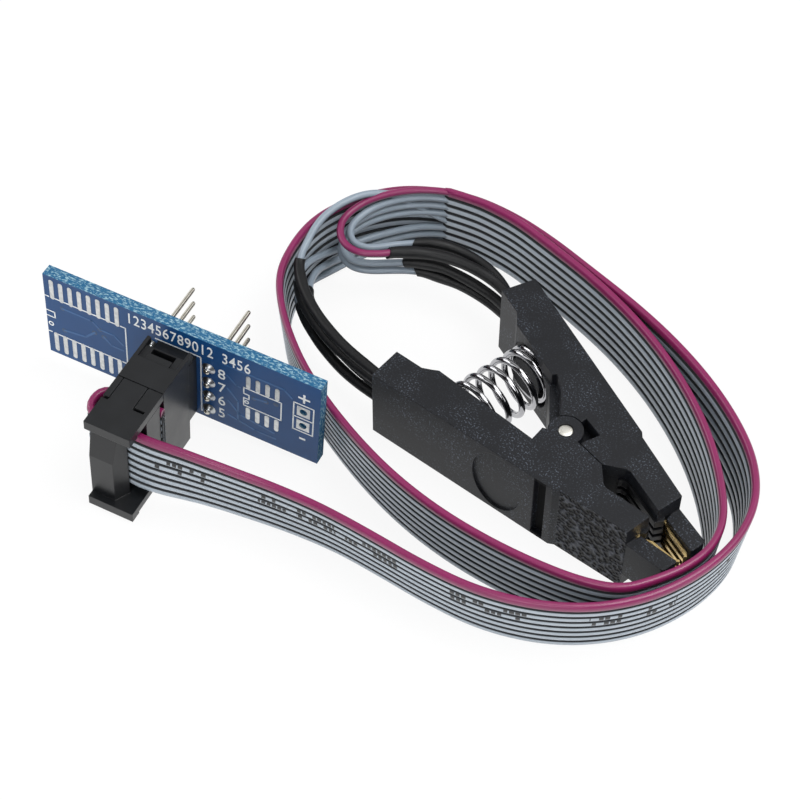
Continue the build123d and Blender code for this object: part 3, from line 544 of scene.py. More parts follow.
def ribbon_pvc(cfg):
    """Flexible PVC, extruded as eight joined conductors: satin grey, the first one marked, with painted shade
    in the grooves, faint drawing streaks along it, and groups of inked ticks on the outer face."""
    material, tree = start_material("Extruded PVC flat cable")
    lie = add(tree, "Attribute", out="Vector", attribute_name="lie")
    along, across, side = add(tree, "SeparateXYZ", {0: lie}).node.outputs
    groove = add(tree, "Math", {0: side}, operation="ABSOLUTE")
    outer = add(tree, "Math", {0: side, 1: 0.0}, operation="GREATER_THAN")
    # a streak is 0.3 mm wide and 5 mm long
    stretched = add(tree, "CombineXYZ", {0: add(tree, "Math", {0: along, 1: 0.06}, operation="MULTIPLY"),
                                         1: add(tree, "Math", {0: across, 1: PITCH}, operation="MULTIPLY")})
    streak = add(tree, "TexNoise", {"Vector": stretched, "Scale": 1 / (0.3 * MM), "Detail": 3.0})
    place = add(tree, "TexCoord", out="Object")
    cloud = add(tree, "TexNoise", {"Vector": place, "Scale": 1 / (9 * MM), "Detail": 2.0})
    cloud = add(tree, "Math", {0: cloud, 1: 0.3}, operation="MULTIPLY")
    pale = add(tree, "Mix", {0: streak, 6: cfg.grey, 7: linear("#9BA6B1")}, data_type="RGBA")
    pale = add(tree, "Mix", {0: cloud, 6: pale, 7: linear("#85919D")}, data_type="RGBA")
    pink = add(tree, "Mix", {0: streak, 6: cfg.marked, 7: linear("#701848")}, data_type="RGBA")
    first = add(tree, "Math", {0: across, 1: 1.0}, operation="LESS_THAN")
    skin = add(tree, "Mix", {0: first, 6: pale, 7: pink}, data_type="RGBA")
    # painted shade: the grooves between the conductors are darkened nearly to black, and made matt
    painted_groove_shade = add(tree, "MapRange", {"Value": groove, "From Min": 0.06, "From Max": 0.2, "To Max": 0.97})
    skin = add(tree, "Mix", {0: painted_groove_shade, 6: skin, 7: linear("#07090C")}, data_type="RGBA")
    # ticks: cells 0.68 mm long on three conductors, about half of them inked, in groups along the cable
    cell = add(tree, "Math", {0: along, 1: 1 / (0.68 * MM)}, operation="MULTIPLY")
    step = add(tree, "Math", {0: cell}, operation="FLOOR")
    lane = add(tree, "Math", {0: across}, operation="FLOOR")
    chance = add(tree, "TexWhiteNoise", {"Vector": add(tree, "CombineXYZ", {0: step, 1: lane})}, out="Value")
    ink = add(tree, "Math", {0: chance, 1: 0.46}, operation="GREATER_THAN")
    within = add(tree, "Math", {0: cell}, operation="FRACT")
    wide = add(tree, "MapRange", {"Value": chance, "To Min": 0.24, "To Max": 0.42})
    tick = add(tree, "Math", {0: within, 1: 0.5, 2: wide}, operation="COMPARE")
    height = add(tree, "Math", {0: across}, operation="FRACT")
    high = add(tree, "Math", {0: height, 1: 0.45, 2: 0.24}, operation="COMPARE")
    rows = add(tree, "Math", {0: across, 1: 3.0, 2: 1.1}, operation="COMPARE")
    groups = 0.0
    for middle, half in PRINT_GROUPS:
        near = add(tree, "Math", {0: along, 1: middle, 2: half}, operation="COMPARE")
        groups = add(tree, "Math", {0: near, 1: groups}, operation="ADD")
    for part in (tick, high, rows, groups, outer):
        ink = add(tree, "Math", {0: ink, 1: part}, operation="MULTIPLY")
    skin = add(tree, "Mix", {0: ink, 6: skin, 7: cfg.print_ink}, data_type="RGBA")
    rough = add(tree, "MapRange", {"Value": streak, "To Min": 0.26, "To Max": 0.4})
    rough = add(tree, "Mix", {0: painted_groove_shade, 2: rough, 3: 0.85})
    bump = add(tree, "Bump", {"Height": streak, "Strength": 0.3, "Distance": 0.02 * MM})
    return finish_material(material, {"Base Color": skin, "Roughness": rough, "Normal": bump, "IOR": 1.54})


def lead_pvc(name, base_colour, shade):
    """Flexible PVC, extruded over one conductor: satin, with faint streaks along it, and painted shade on the
    side that looks down."""
    material, tree = start_material(name)
    lie = add(tree, "Attribute", out="Vector", attribute_name="lie")
    # a streak is 0.25 mm wide and 3 mm long
    stretched = add(tree, "Mapping", {"Vector": lie, "Scale": (0.08, 1.0, 0.0)})
    streak = add(tree, "TexNoise", {"Vector": stretched, "Scale": 1 / (0.25 * MM), "Detail": 3.0})
    skin = add(tree, "Mix", {0: streak, 6: base_colour, 7: shade}, data_type="RGBA")
    # painted shade: the more a point of the lead looks down, the darker its colour
    up = add(tree, "SeparateXYZ", {0: lie}, out=2)
    under = add(tree, "MapRange", {"Value": up, "From Min": -0.45, "From Max": 0.4,
                                   "To Min": 0.85, "To Max": 0.0})
    skin = add(tree, "Mix", {0: under, 6: skin, 7: linear("#343A42")}, data_type="RGBA")
    rough = add(tree, "MapRange", {"Value": streak, "To Min": 0.32, "To Max": 0.5})
    bump = add(tree, "Bump", {"Height": streak, "Strength": 0.3, "Distance": 0.02 * MM})
    return finish_material(material, {"Base Color": skin, "Roughness": rough, "Normal": bump, "IOR": 1.54})


def heat_shrink(cfg):
    """Polyolefin tube, shrunk with hot air: satin black, slightly wavy over the joint and strands below."""
    material, tree = start_material("Shrunk polyolefin sleeve")
    lie = add(tree, "Attribute", out="Vector", attribute_name="lie")
    # a strand shows 0.4 mm wide and 2.7 mm long
    stretched = add(tree, "Mapping", {"Vector": lie, "Scale": (0.15, 1.0, 1.0)})
    strand = add(tree, "TexNoise", {"Vector": stretched, "Scale": 1 / (0.4 * MM), "Detail": 2.0})
    place = add(tree, "TexCoord", out="Object")
    dust = add(tree, "TexNoise", {"Vector": place, "Scale": 1 / (0.25 * MM), "Detail": 2.0})
    skin = add(tree, "Mix", {0: dust, 6: cfg.shrink, 7: linear("#141517")}, data_type="RGBA")
    rough = add(tree, "MapRange", {"Value": dust, "To Min": 0.36, "To Max": 0.6})
    bump = add(tree, "Bump", {"Height": strand, "Strength": 0.5, "Distance": 0.08 * MM})
    return finish_material(material, {"Base Color": skin, "Roughness": rough, "Normal": bump,
                                      "IOR": 1.5, "Specular IOR Level": 0.35})


def blue_laminate(cfg):
    """Glass-epoxy laminate with a blue solder mask: semi-gloss faces, slightly cloudy, and sawn edges with
    pale glass cloth."""
    material, tree = start_material("Blue masked glass laminate")
    place = add(tree, "TexCoord", out="Object")
    cloud = add(tree, "TexNoise", {"Vector": place, "Scale": 1 / (7 * MM), "Detail": 3.0})
    mask = add(tree, "Mix", {0: cloud, 6: cfg.mask, 7: linear("#0E3A6C")}, data_type="RGBA")
    # a place in the board's own axes is the dot product of each axis with the way from its corner
    local = add(tree, "VectorMath", {0: place, 1: tuple(BOARD_AT)}, operation="SUBTRACT")
    along, back, up = (add(tree, "VectorMath", {0: local, 1: tuple(axis)}, operation="DOT_PRODUCT")
                       for axis in (BOARD_ALONG, BOARD_BACK, BOARD_UP))
    normal = add(tree, "NewGeometry", out="True Normal")
    facing = add(tree, "VectorMath", {0: normal, 1: tuple(BOARD_BACK)}, operation="DOT_PRODUCT")
    facing = add(tree, "Math", {0: facing}, operation="ABSOLUTE")
    side = add(tree, "Math", {0: facing, 1: 0.5}, operation="LESS_THAN")
    # sawn edge: glass yarns 0.25 mm thick and 0.55 mm long, bright on torn resin
    flat = add(tree, "CombineXYZ", {0: add(tree, "Math", {0: along, 1: up}, operation="ADD"), 1: back})
    flat = add(tree, "Mapping", {"Vector": flat, "Scale": (0.5, 1.2, 1.0)})
    yarn = add(tree, "TexNoise", {"Vector": flat, "Scale": 1 / (0.28 * MM), "Detail": 3.0, "Roughness": 0.7})
    torn = add(tree, "MapRange", {"Value": yarn, "From Min": 0.5, "From Max": 0.62})
    raw = add(tree, "Mix", {0: torn, 6: linear("#1F5A80"), 7: cfg.edge}, data_type="RGBA")
    skin = add(tree, "Mix", {0: side, 6: mask, 7: raw}, data_type="RGBA")
    rough = add(tree, "MapRange", {"Value": side, "To Min": 0.36, "To Max": 0.8})
    height = add(tree, "Math", {0: yarn, 1: side}, operation="MULTIPLY")
    bump = add(tree, "Bump", {"Height": height, "Strength": 1.0, "Distance": 0.12 * MM})
    return finish_material(material, {"Base Color": skin, "Roughness": rough, "Normal": bump,
                                      "IOR": 1.52, "Specular IOR Level": 0.3})


def masked_copper(name, light, dark, size, roughness):
    """Copper under the solder mask: the board's semi-gloss blue in two tones, in clouds of the given size.
    A track is a little lighter than the board, and a plated hole darker."""
    material, tree = start_material(name)
    place = add(tree, "TexCoord", out="Object")
    cloud = add(tree, "TexNoise", {"Vector": place, "Scale": 1 / size, "Detail": 2.0})
    skin = add(tree, "Mix", {0: cloud, 6: linear(light), 7: linear(dark)}, data_type="RGBA")
    return finish_material(material, {"Base Color": skin, "Roughness": roughness, "IOR": 1.52})


def screen_ink(cfg):
    """Epoxy ink, screen printed: matt white with slightly starved spots."""
    material, tree = start_material("Screen printed white ink")
    place = add(tree, "TexCoord", out="Object")
    starved = add(tree, "TexNoise", {"Vector": place, "Scale": 1 / (0.2 * MM), "Detail": 2.0})
    thin = add(tree, "MapRange", {"Value": starved, "From Min": 0.55, "From Max": 0.8, "To Max": 0.5})
    skin = add(tree, "Mix", {0: thin, 6: cfg.ink, 7: linear("#9FB6CB")}, data_type="RGBA")
    return finish_material(material, {"Base Color": skin, "Roughness": 0.55, "IOR": 1.5})


def hot_tin(name, bright, dull, smooth, rough_most, size):
    """Tin, levelled hot or plated: pale metal, its sheen broken by a soft skin of the given size."""
    material, tree = start_material(name)
    place = add(tree, "TexCoord", out="Object")
    sheen = add(tree, "TexNoise", {"Vector": place, "Scale": 1 / size, "Detail": 3.0})
    skin = add(tree, "Mix", {0: sheen, 6: bright, 7: dull}, data_type="RGBA")
    rough = add(tree, "MapRange", {"Value": sheen, "To Min": smooth, "To Max": rough_most})
    bump = add(tree, "Bump", {"Height": sheen, "Strength": 0.3, "Distance": 0.03 * MM})
    return finish_material(material, {"Base Color": skin, "Roughness": rough, "Normal": bump,
                                      "Metallic": 1.0})


def socket_plastic(cfg):
    """PBT, injection moulded: black and semi-gloss, with a fine grit and softened edges."""
    material, tree = start_material("Moulded PBT")
    place = add(tree, "TexCoord", out="Object")
    grit = add(tree, "TexNoise", {"Vector": place, "Scale": 1 / (0.18 * MM), "Detail": 2.0})
    cloud = add(tree, "TexNoise", {"Vector": place, "Scale": 1 / (3 * MM), "Detail": 3.0})
    skin = add(tree, "Mix", {0: cloud, 6: cfg.plastic, 7: linear("#181A1D")}, data_type="RGBA")
    rough = add(tree, "MapRange", {"Value": cloud, "To Min": 0.26, "To Max": 0.42})
    edge = add(tree, "Bevel", {"Radius": 0.14 * MM}, samples=4)
    bump = add(tree, "Bump", {"Height": grit, "Strength": 0.25, "Distance": 0.02 * MM, "Normal": edge})
    return finish_material(material, {"Base Color": skin, "Roughness": rough, "Normal": bump,
                                      "IOR": 1.55, "Specular IOR Level": 0.4})


# ------------------------------------------------------------------ the clip
class CLIP_OT_jaws(bpy.types.Operator):
    """Finishes the two jaws, their combs and the gold contact strips"""
    bl_idname = "test_clip.jaws"
    bl_label = "Jaws and contacts"

    def execute(self, context):
        cfg = context.scene.test_clip
        plastic, black, gold = jaw_plastic(cfg), comb_plastic(cfg), gold_plate(cfg)
        for which in ("upper", "lower"):
            dress(node_of(f"{which}_jaw"), plastic)
            dress(node_of(f"{which}_comb"), black)
            dress(node_of(f"{which}_contacts"), gold)
        return {"FINISHED"}


class CLIP_OT_hinge_pin(bpy.types.Operator):
    """Makes the pressed hinge pin"""
    bl_idname = "test_clip.hinge_pin"
    bl_label = "Hinge pin"

    def execute(self, context):
        # a turned shape: straight shank, its ends chamfered and slightly domed
        end = [(0.05, 0.0), (0.45, -0.02), (0.78, -0.06), (0.92, -0.14), (1.0, -0.26)]
        upper = [(PIN_RADIUS * a, THICK + b * MM) for a, b in end]
        profile = [(a, THICK - b) for a, b in upper] + upper[::-1]
        pin = surface("pin_turned", [turned(profile, (0, 0, 0), (0, 0, 1), 48)])
        dress(pin, pressed_steel(context.scene.test_clip))
        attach(pin, "front")
        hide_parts("hinge_pin")
        return {"FINISHED"}


def helix(cfg, per_turn=48):
    """The middle of the spring's wire: a circle about the spring's axis that moves on along it.

    How fast it moves on falls to about a third in the end turns, so that they lie flat on the seats.
    """
    share = np.linspace(0, 1, int(cfg.spring_turns * per_turn) + 1)
    turn = share * cfg.spring_turns * 2 * math.pi
    flat = 0.75 / cfg.spring_turns
    slope = np.interp(share, [0, flat, 2 * flat, 1 - 2 * flat, 1 - flat, 1], [0.35, 0.45, 1, 1, 0.45, 0.35])
    gone = np.concatenate([[0], np.cumsum((slope[1:] + slope[:-1]) / 2)])
    travel = 2 * (SPRING_SEAT - cfg.spring_wire)
    return np.stack([SPRING_AT[0] + cfg.spring_radius * np.cos(turn), travel / 2 - travel * gone / gone[-1],
                     SPRING_AT[2] + cfg.spring_radius * np.sin(turn)], axis=1)


class CLIP_OT_spring(bpy.types.Operator):
    """Winds the jaw spring"""
    bl_idname = "test_clip.spring"
    bl_label = "Spring"

    def execute(self, context):
        cfg = context.scene.test_clip
        grid = carry(helix(cfg), circle(cfg.spring_wire, 16), (0.0, 1.0, 0.0))
        spring = surface("spring_wound", [grid])
        dress(spring, bright_chrome(cfg))
        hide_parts("jaw_spring")
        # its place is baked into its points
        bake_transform(spring)
        return {"FINISHED"}


# ------------------------------------------------------------------ the cable
def ribbon_profile(cfg, per_wire=9):
    """Cross-section of the flat cable as (side, up, across, groove), the last below zero on the inner face.

    Half its thickness over a conductor is half of web + (full - web) (1 - |2x|^2.6)^0.5, with x from
    -0.5 to 0.5 across the conductor. The outer face runs up and the inner face comes down again.
    """
    x = -0.5 * np.cos(np.arange(per_wire) / per_wire * math.pi)
    place = np.concatenate([k + 0.5 + x for k in range(8)] + [[8.0]])
    x = place - np.minimum(np.floor(place), 7) - 0.5
    lobe = np.sqrt(np.maximum(1 - np.abs(2 * x) ** 2.6, 0))
    half = cfg.web / 2 + (cfg.ridge - cfg.web) / 2 * lobe
    up = (place - 4) * PITCH
    # the two outermost edges are no grooves; the small sum keeps each face's sign where it is flat
    groove = np.where(np.abs(place - 4) < 3.5, 1 - lobe, 0) + 1e-3
    outer = np.stack([half, up, 8 - place, groove], axis=1)
    inner = np.stack([-half, up, 8 - place, -groove], axis=1)[::-1]
    return np.concatenate([outer, inner])


def ribbon_run():
    """The flat cable's middle line, the distance along it, and its upward direction at each point.

    The line stands half the cable's width off the floor, plus its lift at the split end and its climb to
    the socket. Its upward direction leans outwards, up cos(lean) + left sin(lean), and turns smoothly to
    the board's own over the last points of the route.
    """
    flat = np.array(RIBBON)
    ahead = unit(flat[-1] - flat[FLOOR_FROM])
    gone = (flat - flat[FLOOR_FROM]) @ ahead
    gone[:FLOOR_FROM] = 0
    rise = np.interp(gone, *np.array(RAMP).T) + np.interp(np.arange(len(flat)), *np.array(LIFT).T)
    fold = np.array(FOLD)
    route = np.concatenate([np.c_[flat, 4 * PITCH + rise], on_board(fold[:, 0], fold[:, 1], HEADER_UP)])
    line = route_line(route, RIBBON_STEP)
    along, reach = distance(line), distance(route)
    at = np.interp(along / along[-1], reach / reach[-1], np.arange(len(route)))
    lean = np.radians(np.interp(at, *np.array(LEAN).T))[:, None]
    forwards = unit(np.gradient(line, axis=0))
    left = unit(np.stack([-forwards[:, 1], forwards[:, 0], np.zeros(len(line))], axis=1))
    up = np.cos(lean) * np.array([0, 0, 1.0]) + np.sin(lean) * left
    square = np.clip((at - SQUARE_FROM) / SQUARE_OVER, 0, 1)[:, None]
    square = square * square * (3 - 2 * square)
    return line, along, unit((1 - square) * up + square * BOARD_UP)


class CLIP_OT_ribbon(bpy.types.Operator):
    """Lays the flat cable from the leads to the socket and folds its tail over the cover"""
    bl_idname = "test_clip.ribbon"
    bl_label = "Ribbon cable"

    def execute(self, context):
        cfg = context.scene.test_cable
        line, along, up = ribbon_run()
        profile = ribbon_profile(cfg)
        shape = np.tile(profile[:, :2], (len(line), 1, 1))
        # the web is cut back between the leads, so its end sinks into them
        shape[0, :, 0] *= 0.35
        ribbon = surface("ribbon_moulded", [carry(line, shape, up)], sharp=75)
        across, groove = np.tile(profile[:, 2:], (len(line), 1)).T
        note(ribbon, "lie", np.stack([np.repeat(along, len(profile)), across, groove], axis=1))
        dress(ribbon, ribbon_pvc(cfg))
        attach(ribbon, "rear")
        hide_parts("ribbon_cable", "ribbon_tail")
        return {"FINISHED"}


def make_lead(cfg, name, line, along, shift, sides=14):
    """A lead: a circle carried along its line.

    Its points note the distance along it, the way round it, and how far they look up, from -1 to 1.
    """
    lead = surface(name, [carry(line, circle(cfg.wire_radius, sides), (0, 0, 1.0))])
    turn = round_angles(sides)
    note(lead, "lie", np.stack([np.repeat(along, sides) + shift, np.tile(turn * cfg.wire_radius, len(line)),
                                np.tile(np.sin(turn), len(line))], axis=1))
    return lead


def make_sleeve(cfg, name, line, shift, row, wider, sides=18):
    """A shrunk sleeve: a circle carried along its line, swollen over the soldered joint by a bell curve of
    the distance, with a slow sine wave along it, and its cut end a little aslant."""
    gone = distance(line)
    radius = cfg.sleeve_radius + wider + SWELL * np.exp(-((gone - SWELL_AT) / SWELL_LONG) ** 2)
    radius += WAVE * np.sin(gone / WAVE_LONG + 2 * shift + row)
    grid = carry(line, circle(radius, sides), (0, 0, 1.0))
    turn = round_angles(sides)
    slant = np.exp(-gone / SLANT_LONG)[:, None] * np.sin(turn + 1.3 * shift)
    grid += (SLANT * slant)[..., None] * unit(np.gradient(line, axis=0))[:, None]
    sheath = surface(name, [grid])
    round_it = np.tile(turn * cfg.sleeve_radius, len(line))
    note(sheath, "lie", np.stack([np.repeat(gone, sides) + shift, round_it, 0 * round_it], axis=1))
    return sheath


class CLIP_OT_leads(bpy.types.Operator):
    """Makes the eight leads that fan out of the cable, and their heat-shrink sleeves"""
    bl_idname = "test_clip.leads"
    bl_label = "Leads and sleeves"

    def execute(self, context):
        cfg = context.scene.test_cable
        grey = lead_pvc("Extruded PVC lead, grey", linear("#93A0AC"), linear("#737F8B"))
        pink = lead_pvc("Extruded PVC lead, marked", cfg.marked, linear("#701848"))
        black = heat_shrink(cfg)
        for row, (side, which, wires, sleeves) in enumerate(((1, "upper", UPPER_WIRES, UPPER_SLEEVES),
                                                             (-1, "lower", LOWER_WIRES, LOWER_SLEEVES))):
            for i, (wire, sleeve) in enumerate(zip(wires, sleeves)):
                first = side > 0 and i == 0
                height = LIFT[0][1] + 8 * PITCH - PITCH * (0.5 + i + 4 * row)
                joint = tuple((np.array(wire[-1]) + np.array(sleeve[0])) / 2)
                route = [(*p, height) for p in SPLIT] + wire + [joint] + sleeve
                line = route_line(route + [(TAIL[0], side * TAIL[1], LANES[i])], LEAD_STEP)
                along = distance(line)
                lead = make_lead(cfg, f"{which}_lead_{i + 1}", line, along, i)
                dress(lead, pink if first else grey)
                # the sleeve runs from the soldered joint to the contact strip
                soldered = int(np.argmin(np.linalg.norm(line - joint, axis=1)))
                sheath = make_sleeve(cfg, f"{which}_shrink_{i + 1}", line[soldered:], i, row,
                                     FIRST_WIDER if first else 0.0)
                dress(sheath, black)
                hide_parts(f"{which}_wire_{i + 1}")
                if side > 0:
                    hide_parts(f"upper_sleeve_{i + 1}")
                    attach(lead, "rear")
                    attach(sheath, "rear")
                else:
                    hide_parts(f"lower_sleeve_{i + 1}", f"lower_stub_{i + 1}")
                    for piece in (lead, sheath):
                        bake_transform(piece)
        return {"FINISHED"}


# ------------------------------------------------------------------ the adapter board
def bars(strokes, width, thick):
    """Flat bars on the board's face, one for each stroke (along, up, along, up).

    Each is a rectangle the width of a line round its stroke, its end half a width beyond, and stands
    the given thickness out of the face.
    """
    strokes = np.asarray(strokes, float)
    start, end = strokes[:, :2], strokes[:, 2:]
    run = unit(end - start) * width / 2
    cross = np.stack([-run[:, 1], run[:, 0]], axis=1)
    corners = np.stack([start - run - cross, end + run - cross, end + run + cross, start - run + cross],
                       axis=1)
    return np.stack([on_board(corners[..., 0], back, corners[..., 1]) for back in (0.0, -thick)], axis=1)


def pad(tall, width, thick, sides=24):
    """A pad with round ends, slightly crowned: rings shrink from its edge and rise to its middle.

    Each ring is a circle whose upper and lower halves stand apart by the pad's straight part.
    Gives the places along, up and out of the board of the points of each ring.
    """
    turn = round_angles(sides)
    rings = np.array([(1.0, 0.0), (1.0, 0.55), (0.93, 0.82), (0.75, 0.95), (0.4, 1.0)])
    radius, height = rings[:, 0] * width / 2, rings[:, 1] * thick
    apart = (tall - width) / 2 * np.where(np.sin(turn) >= 0, 1, -1)
    along = radius[:, None] * np.cos(turn)
    up = radius[:, None] * np.sin(turn) + apart * rings[:, :1] ** 0.3
    return along, up, np.broadcast_to(height[:, None], along.shape)


def printed(name, text, along, up, size, narrow):
    """A number as thin raised ink on the board's face, its middle at the given place.

    Its width is the letter's own times narrow.
    """
    curve = bpy.data.curves.new(name, "FONT")
    curve.body = text
    curve.size = size
    curve.align_x = "CENTER"
    curve.align_y = "CENTER"
    curve.extrude = NUMBER_HALF
    curve.offset = 0.004 * size
    holder = bpy.data.objects.new(name, curve)
    mesh = bpy.data.meshes.new_from_object(holder)
    bpy.data.objects.remove(holder)
    bpy.data.curves.remove(curve)
    points = np.zeros(len(mesh.vertices) * 3)
    mesh.vertices.foreach_get("co", points)
    points = points.reshape(-1, 3)
    placed = on_board(along + narrow * points[:, 0], -NUMBER_HALF - points[:, 2], up + points[:, 1])
    mesh.vertices.foreach_set("co", placed.ravel())
    mesh.update()
    piece = bpy.data.objects.new(name, mesh)
    bpy.context.scene.collection.objects.link(piece)
    return piece


class CLIP_OT_board(bpy.types.Operator):
    """Finishes the board and lays its masked copper tracks"""
    bl_idname = "test_clip.board"
    bl_label = "Adapter board"

    def execute(self, context):
        cfg = context.scene.test_board
        dress(node_of("adapter_board"), blue_laminate(cfg))
        tracks = surface("board_tracks", bars(np.array(TRACKS) * MM, TRACK_WIDE, TRACK_THICK), smooth=False)
        dress(tracks, masked_copper("Masked copper track", "#1F5F98", "#174C80", 4 * MM, 0.34))
        # a plated hole: a low flat ring with a chamfered edge
        rim = np.array([(0.05, 0.012), (0.30, 0.012), (0.36, 0.0)]) * MM
        rings = [turned(rim, on_board(a * MM, 0.0, b * MM), -BOARD_BACK, 16) for a, b in VIAS]
        vias = surface("board_vias", [ring[::-1, ::-1] for ring in rings])
        dress(vias, masked_copper("Masked plated hole", "#1B3350", "#2A4C72", 0.5 * MM, 0.4))
        for piece in (tracks, vias):
            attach(piece, "rear")
        return {"FINISHED"}


class CLIP_OT_board_marks(bpy.types.Operator):
    """Prints the outlines and plain numbers on the board"""
    bl_idname = "test_clip.board_marks"
    bl_label = "Board marks"

    def execute(self, context):
        cfg = context.scene.test_board
        ink = screen_ink(cfg)
        outlines = surface("board_outlines", bars(np.array(OUTLINES) * MM, cfg.line, INK_THICK), smooth=False)
        rings = []
        for a, b, r in RINGS:
            # a flat ring: a small rectangle carried round a circle
            inner, outer = (r - 0.08) * MM, (r + 0.08) * MM
            profile = [(inner, 0), (outer, 0), (outer, INK_THICK), (inner, INK_THICK), (inner, 0)]
            rings.append(turned(profile, on_board(a * MM, 0.0, b * MM), -BOARD_BACK, 24))
        pieces = [outlines, surface("board_rings", rings, caps=False, smooth=False)]
        for k, (text, a, b, size, narrow) in enumerate(NUMBERS):
            pieces.append(printed(f"board_number_{k + 1}", text, a * MM, b * MM, size * MM, narrow))
        for piece in pieces:
            dress(piece, ink)
            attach(piece, "rear")
        return {"FINISHED"}


class CLIP_OT_pads(bpy.types.Operator):
    """Makes the tinned chip pads and the solder round the pins"""
    bl_idname = "test_clip.pads"
    bl_label = "Pads and solder"

    def execute(self, context):
        cfg = context.scene.test_board
        tin = hot_tin("Hot levelled tin", cfg.pad_tin, linear("#B9BDBF"), 0.42, 0.62, 0.5 * MM)
        for node, from_left, count, rows, tall in PADS:
            along, up, out = pad(tall * MM, PAD_WIDE, PAD_THICK)
            grids = [on_board(from_left * MM + PITCH * k + along, -out, row * MM + up)
                     for k in range(count) for row in rows]
            pads = surface(f"{node}_levelled", grids)
            dress(pads, tin)
            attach(pads, "rear")
            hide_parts(node)
        dress(node_of("supply_pads"), tin)
        # solder: a concave cone round each pin, from a wide foot to the pin
        solder = hot_tin("Soldered joint", cfg.solder, linear("#8D9194"), 0.16, 0.42, 0.8 * MM)
        height = np.array([0.0, 0.03, 0.12, 0.26, 0.42, 0.56, 0.62])
        radius = 0.42 + 0.46 * (1 - height / height[-1]) ** 2.2
        profile = np.stack([radius, height], axis=1) * MM
        feet = [(a, 0.0, b, -BOARD_BACK) for a in PIN_COLUMNS for b in ROWS]
        feet += [(HEADER_AT + s * GRID / 2, BOARD_SIZE[1], b, BOARD_BACK) for s in (-1, 1) for b in ROWS]
        grids = [turned(profile, on_board(a, c, b), axis, 28) for a, c, b, axis in feet]
        cones = surface("solder_cones", grids)
        dress(cones, solder)
        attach(cones, "rear")
        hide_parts("solder_joints")
        return {"FINISHED"}


class CLIP_OT_pins(bpy.types.Operator):
    """Turns the round pins of the board, and finishes the header and its strips"""
    bl_idname = "test_clip.pins"
    bl_label = "Pins"

    def execute(self, context):
        cfg = context.scene.test_board
        bright = hot_tin("Bright tinned brass", cfg.tin, linear("#B4AFA2"), 0.14, 0.34, 0.7 * MM)
        # a turned pin: domed tip through the board, stout root, a shoulder, and a slim end with a round tip
        profile = np.array([(0.08, -0.78), (0.26, -0.74), (0.38, -0.62), (0.42, -0.45), (0.42, 4.14),
                            (0.30, 4.22), (0.28, 4.34), (0.28, 9.85), (0.23, 10.04), (0.13, 10.16),
                            (0.03, 10.2)]) * MM
        grids = [turned(profile, on_board(a, 0.0, b), BOARD_BACK, 24) for a in PIN_COLUMNS for b in ROWS]
        pins = surface("pins_turned", grids)
        dress(pins, bright)
        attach(pins, "rear")
        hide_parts("dip_pins")
        dress(node_of("header_pins"), bright)
        dress(node_of("socket_contacts"), bright)
        return {"FINISHED"}


class CLIP_OT_socket(bpy.types.Operator):
    """Finishes the socket, its cover and strain relief, and the pin strips"""
    bl_idname = "test_clip.socket"
    bl_label = "Socket"

    def execute(self, context):
        plastic = socket_plastic(context.scene.test_board)
        for name in ("socket_body", "socket_cover", "strain_relief", "header_base", "dip_bases"):
            dress(node_of(name), plastic)
        return {"FINISHED"}


# ------------------------------------------------------------------ the stage
def floor_paint(cfg):
    """Seamless studio board: plain, matt and pale. The camera and mirrors see it mostly as even white,
    so that only a soft shadow of the clip is left on it."""
    material, tree = start_material("Studio board")
    path = add(tree, "LightPath").node.outputs
    seen = add(tree, "Math", {0: path["Is Camera Ray"], 1: path["Is Glossy Ray"]}, operation="MAXIMUM")
    seen = add(tree, "Math", {0: seen, 1: path["Is Transmission Ray"]}, operation="MAXIMUM")
    share = add(tree, "Math", {0: seen, 1: 0.9}, operation="MULTIPLY")
    board = add(tree, "BsdfDiffuse", {"Color": cfg.floor})
    white = add(tree, "Emission", {"Color": linear("#FFFFFF"), "Strength": 1.0})
    both = add(tree, "MixShader", {0: share, 1: board, 2: white})
    add(tree, "OutputMaterial", {"Surface": both})
    return material


def studio(cfg):
    """The light all round: even for the object, white for the camera, and for mirrors a dark studio with
    upright white cards, where the sine of five times the way round is high, and one dimmer card aside."""
    world = bpy.data.worlds.new("studio")
    world.use_nodes = True
    tree = world.node_tree
    tree.nodes.clear()
    path = add(tree, "LightPath").node.outputs
    plain = linear("#FFFFFF")
    even = add(tree, "Background", {"Color": plain, "Strength": cfg.sky})
    white = add(tree, "Background", {"Color": plain, "Strength": 1.0})
    ray = add(tree, "TexCoord", out="Generated")
    x, y, z = add(tree, "SeparateXYZ", {0: ray}).node.outputs
    way = add(tree, "Math", {0: y, 1: x}, operation="ARCTAN2")
    way = add(tree, "Math", {0: way, 1: 5.0}, operation="MULTIPLY")
    card = add(tree, "Math", {0: way}, operation="SINE")
    card = add(tree, "MapRange", {"Value": card, "From Min": 0.45, "From Max": 0.6,
                                  "To Min": 0.02, "To Max": 1.35})
    near = add(tree, "VectorMath", {0: ray, 1: SIDE_CARD}, operation="DOT_PRODUCT")
    near = add(tree, "MapRange", {"Value": near, "From Min": 0.84, "From Max": 0.93})
    card = add(tree, "Mix", {0: near, 2: card, 3: 0.5})
    cards = add(tree, "Background", {"Color": plain, "Strength": card})
    first = add(tree, "MixShader", {0: path["Is Glossy Ray"], 1: even, 2: cards})
    both = add(tree, "MixShader", {0: path["Is Camera Ray"], 1: first, 2: white})
    add(tree, "OutputWorld", {"Surface": both})
    return world


def aim(name, data, place, target):
    """Puts a lamp or the camera at a place, turned to a target, level."""
    holder = bpy.data.objects.new(name, data)
    bpy.context.scene.collection.objects.link(holder)
    holder.location = place
    holder.rotation_euler = (Vector(target) - Vector(place)).to_track_quat("-Z", "Y").to_euler()
    return holder


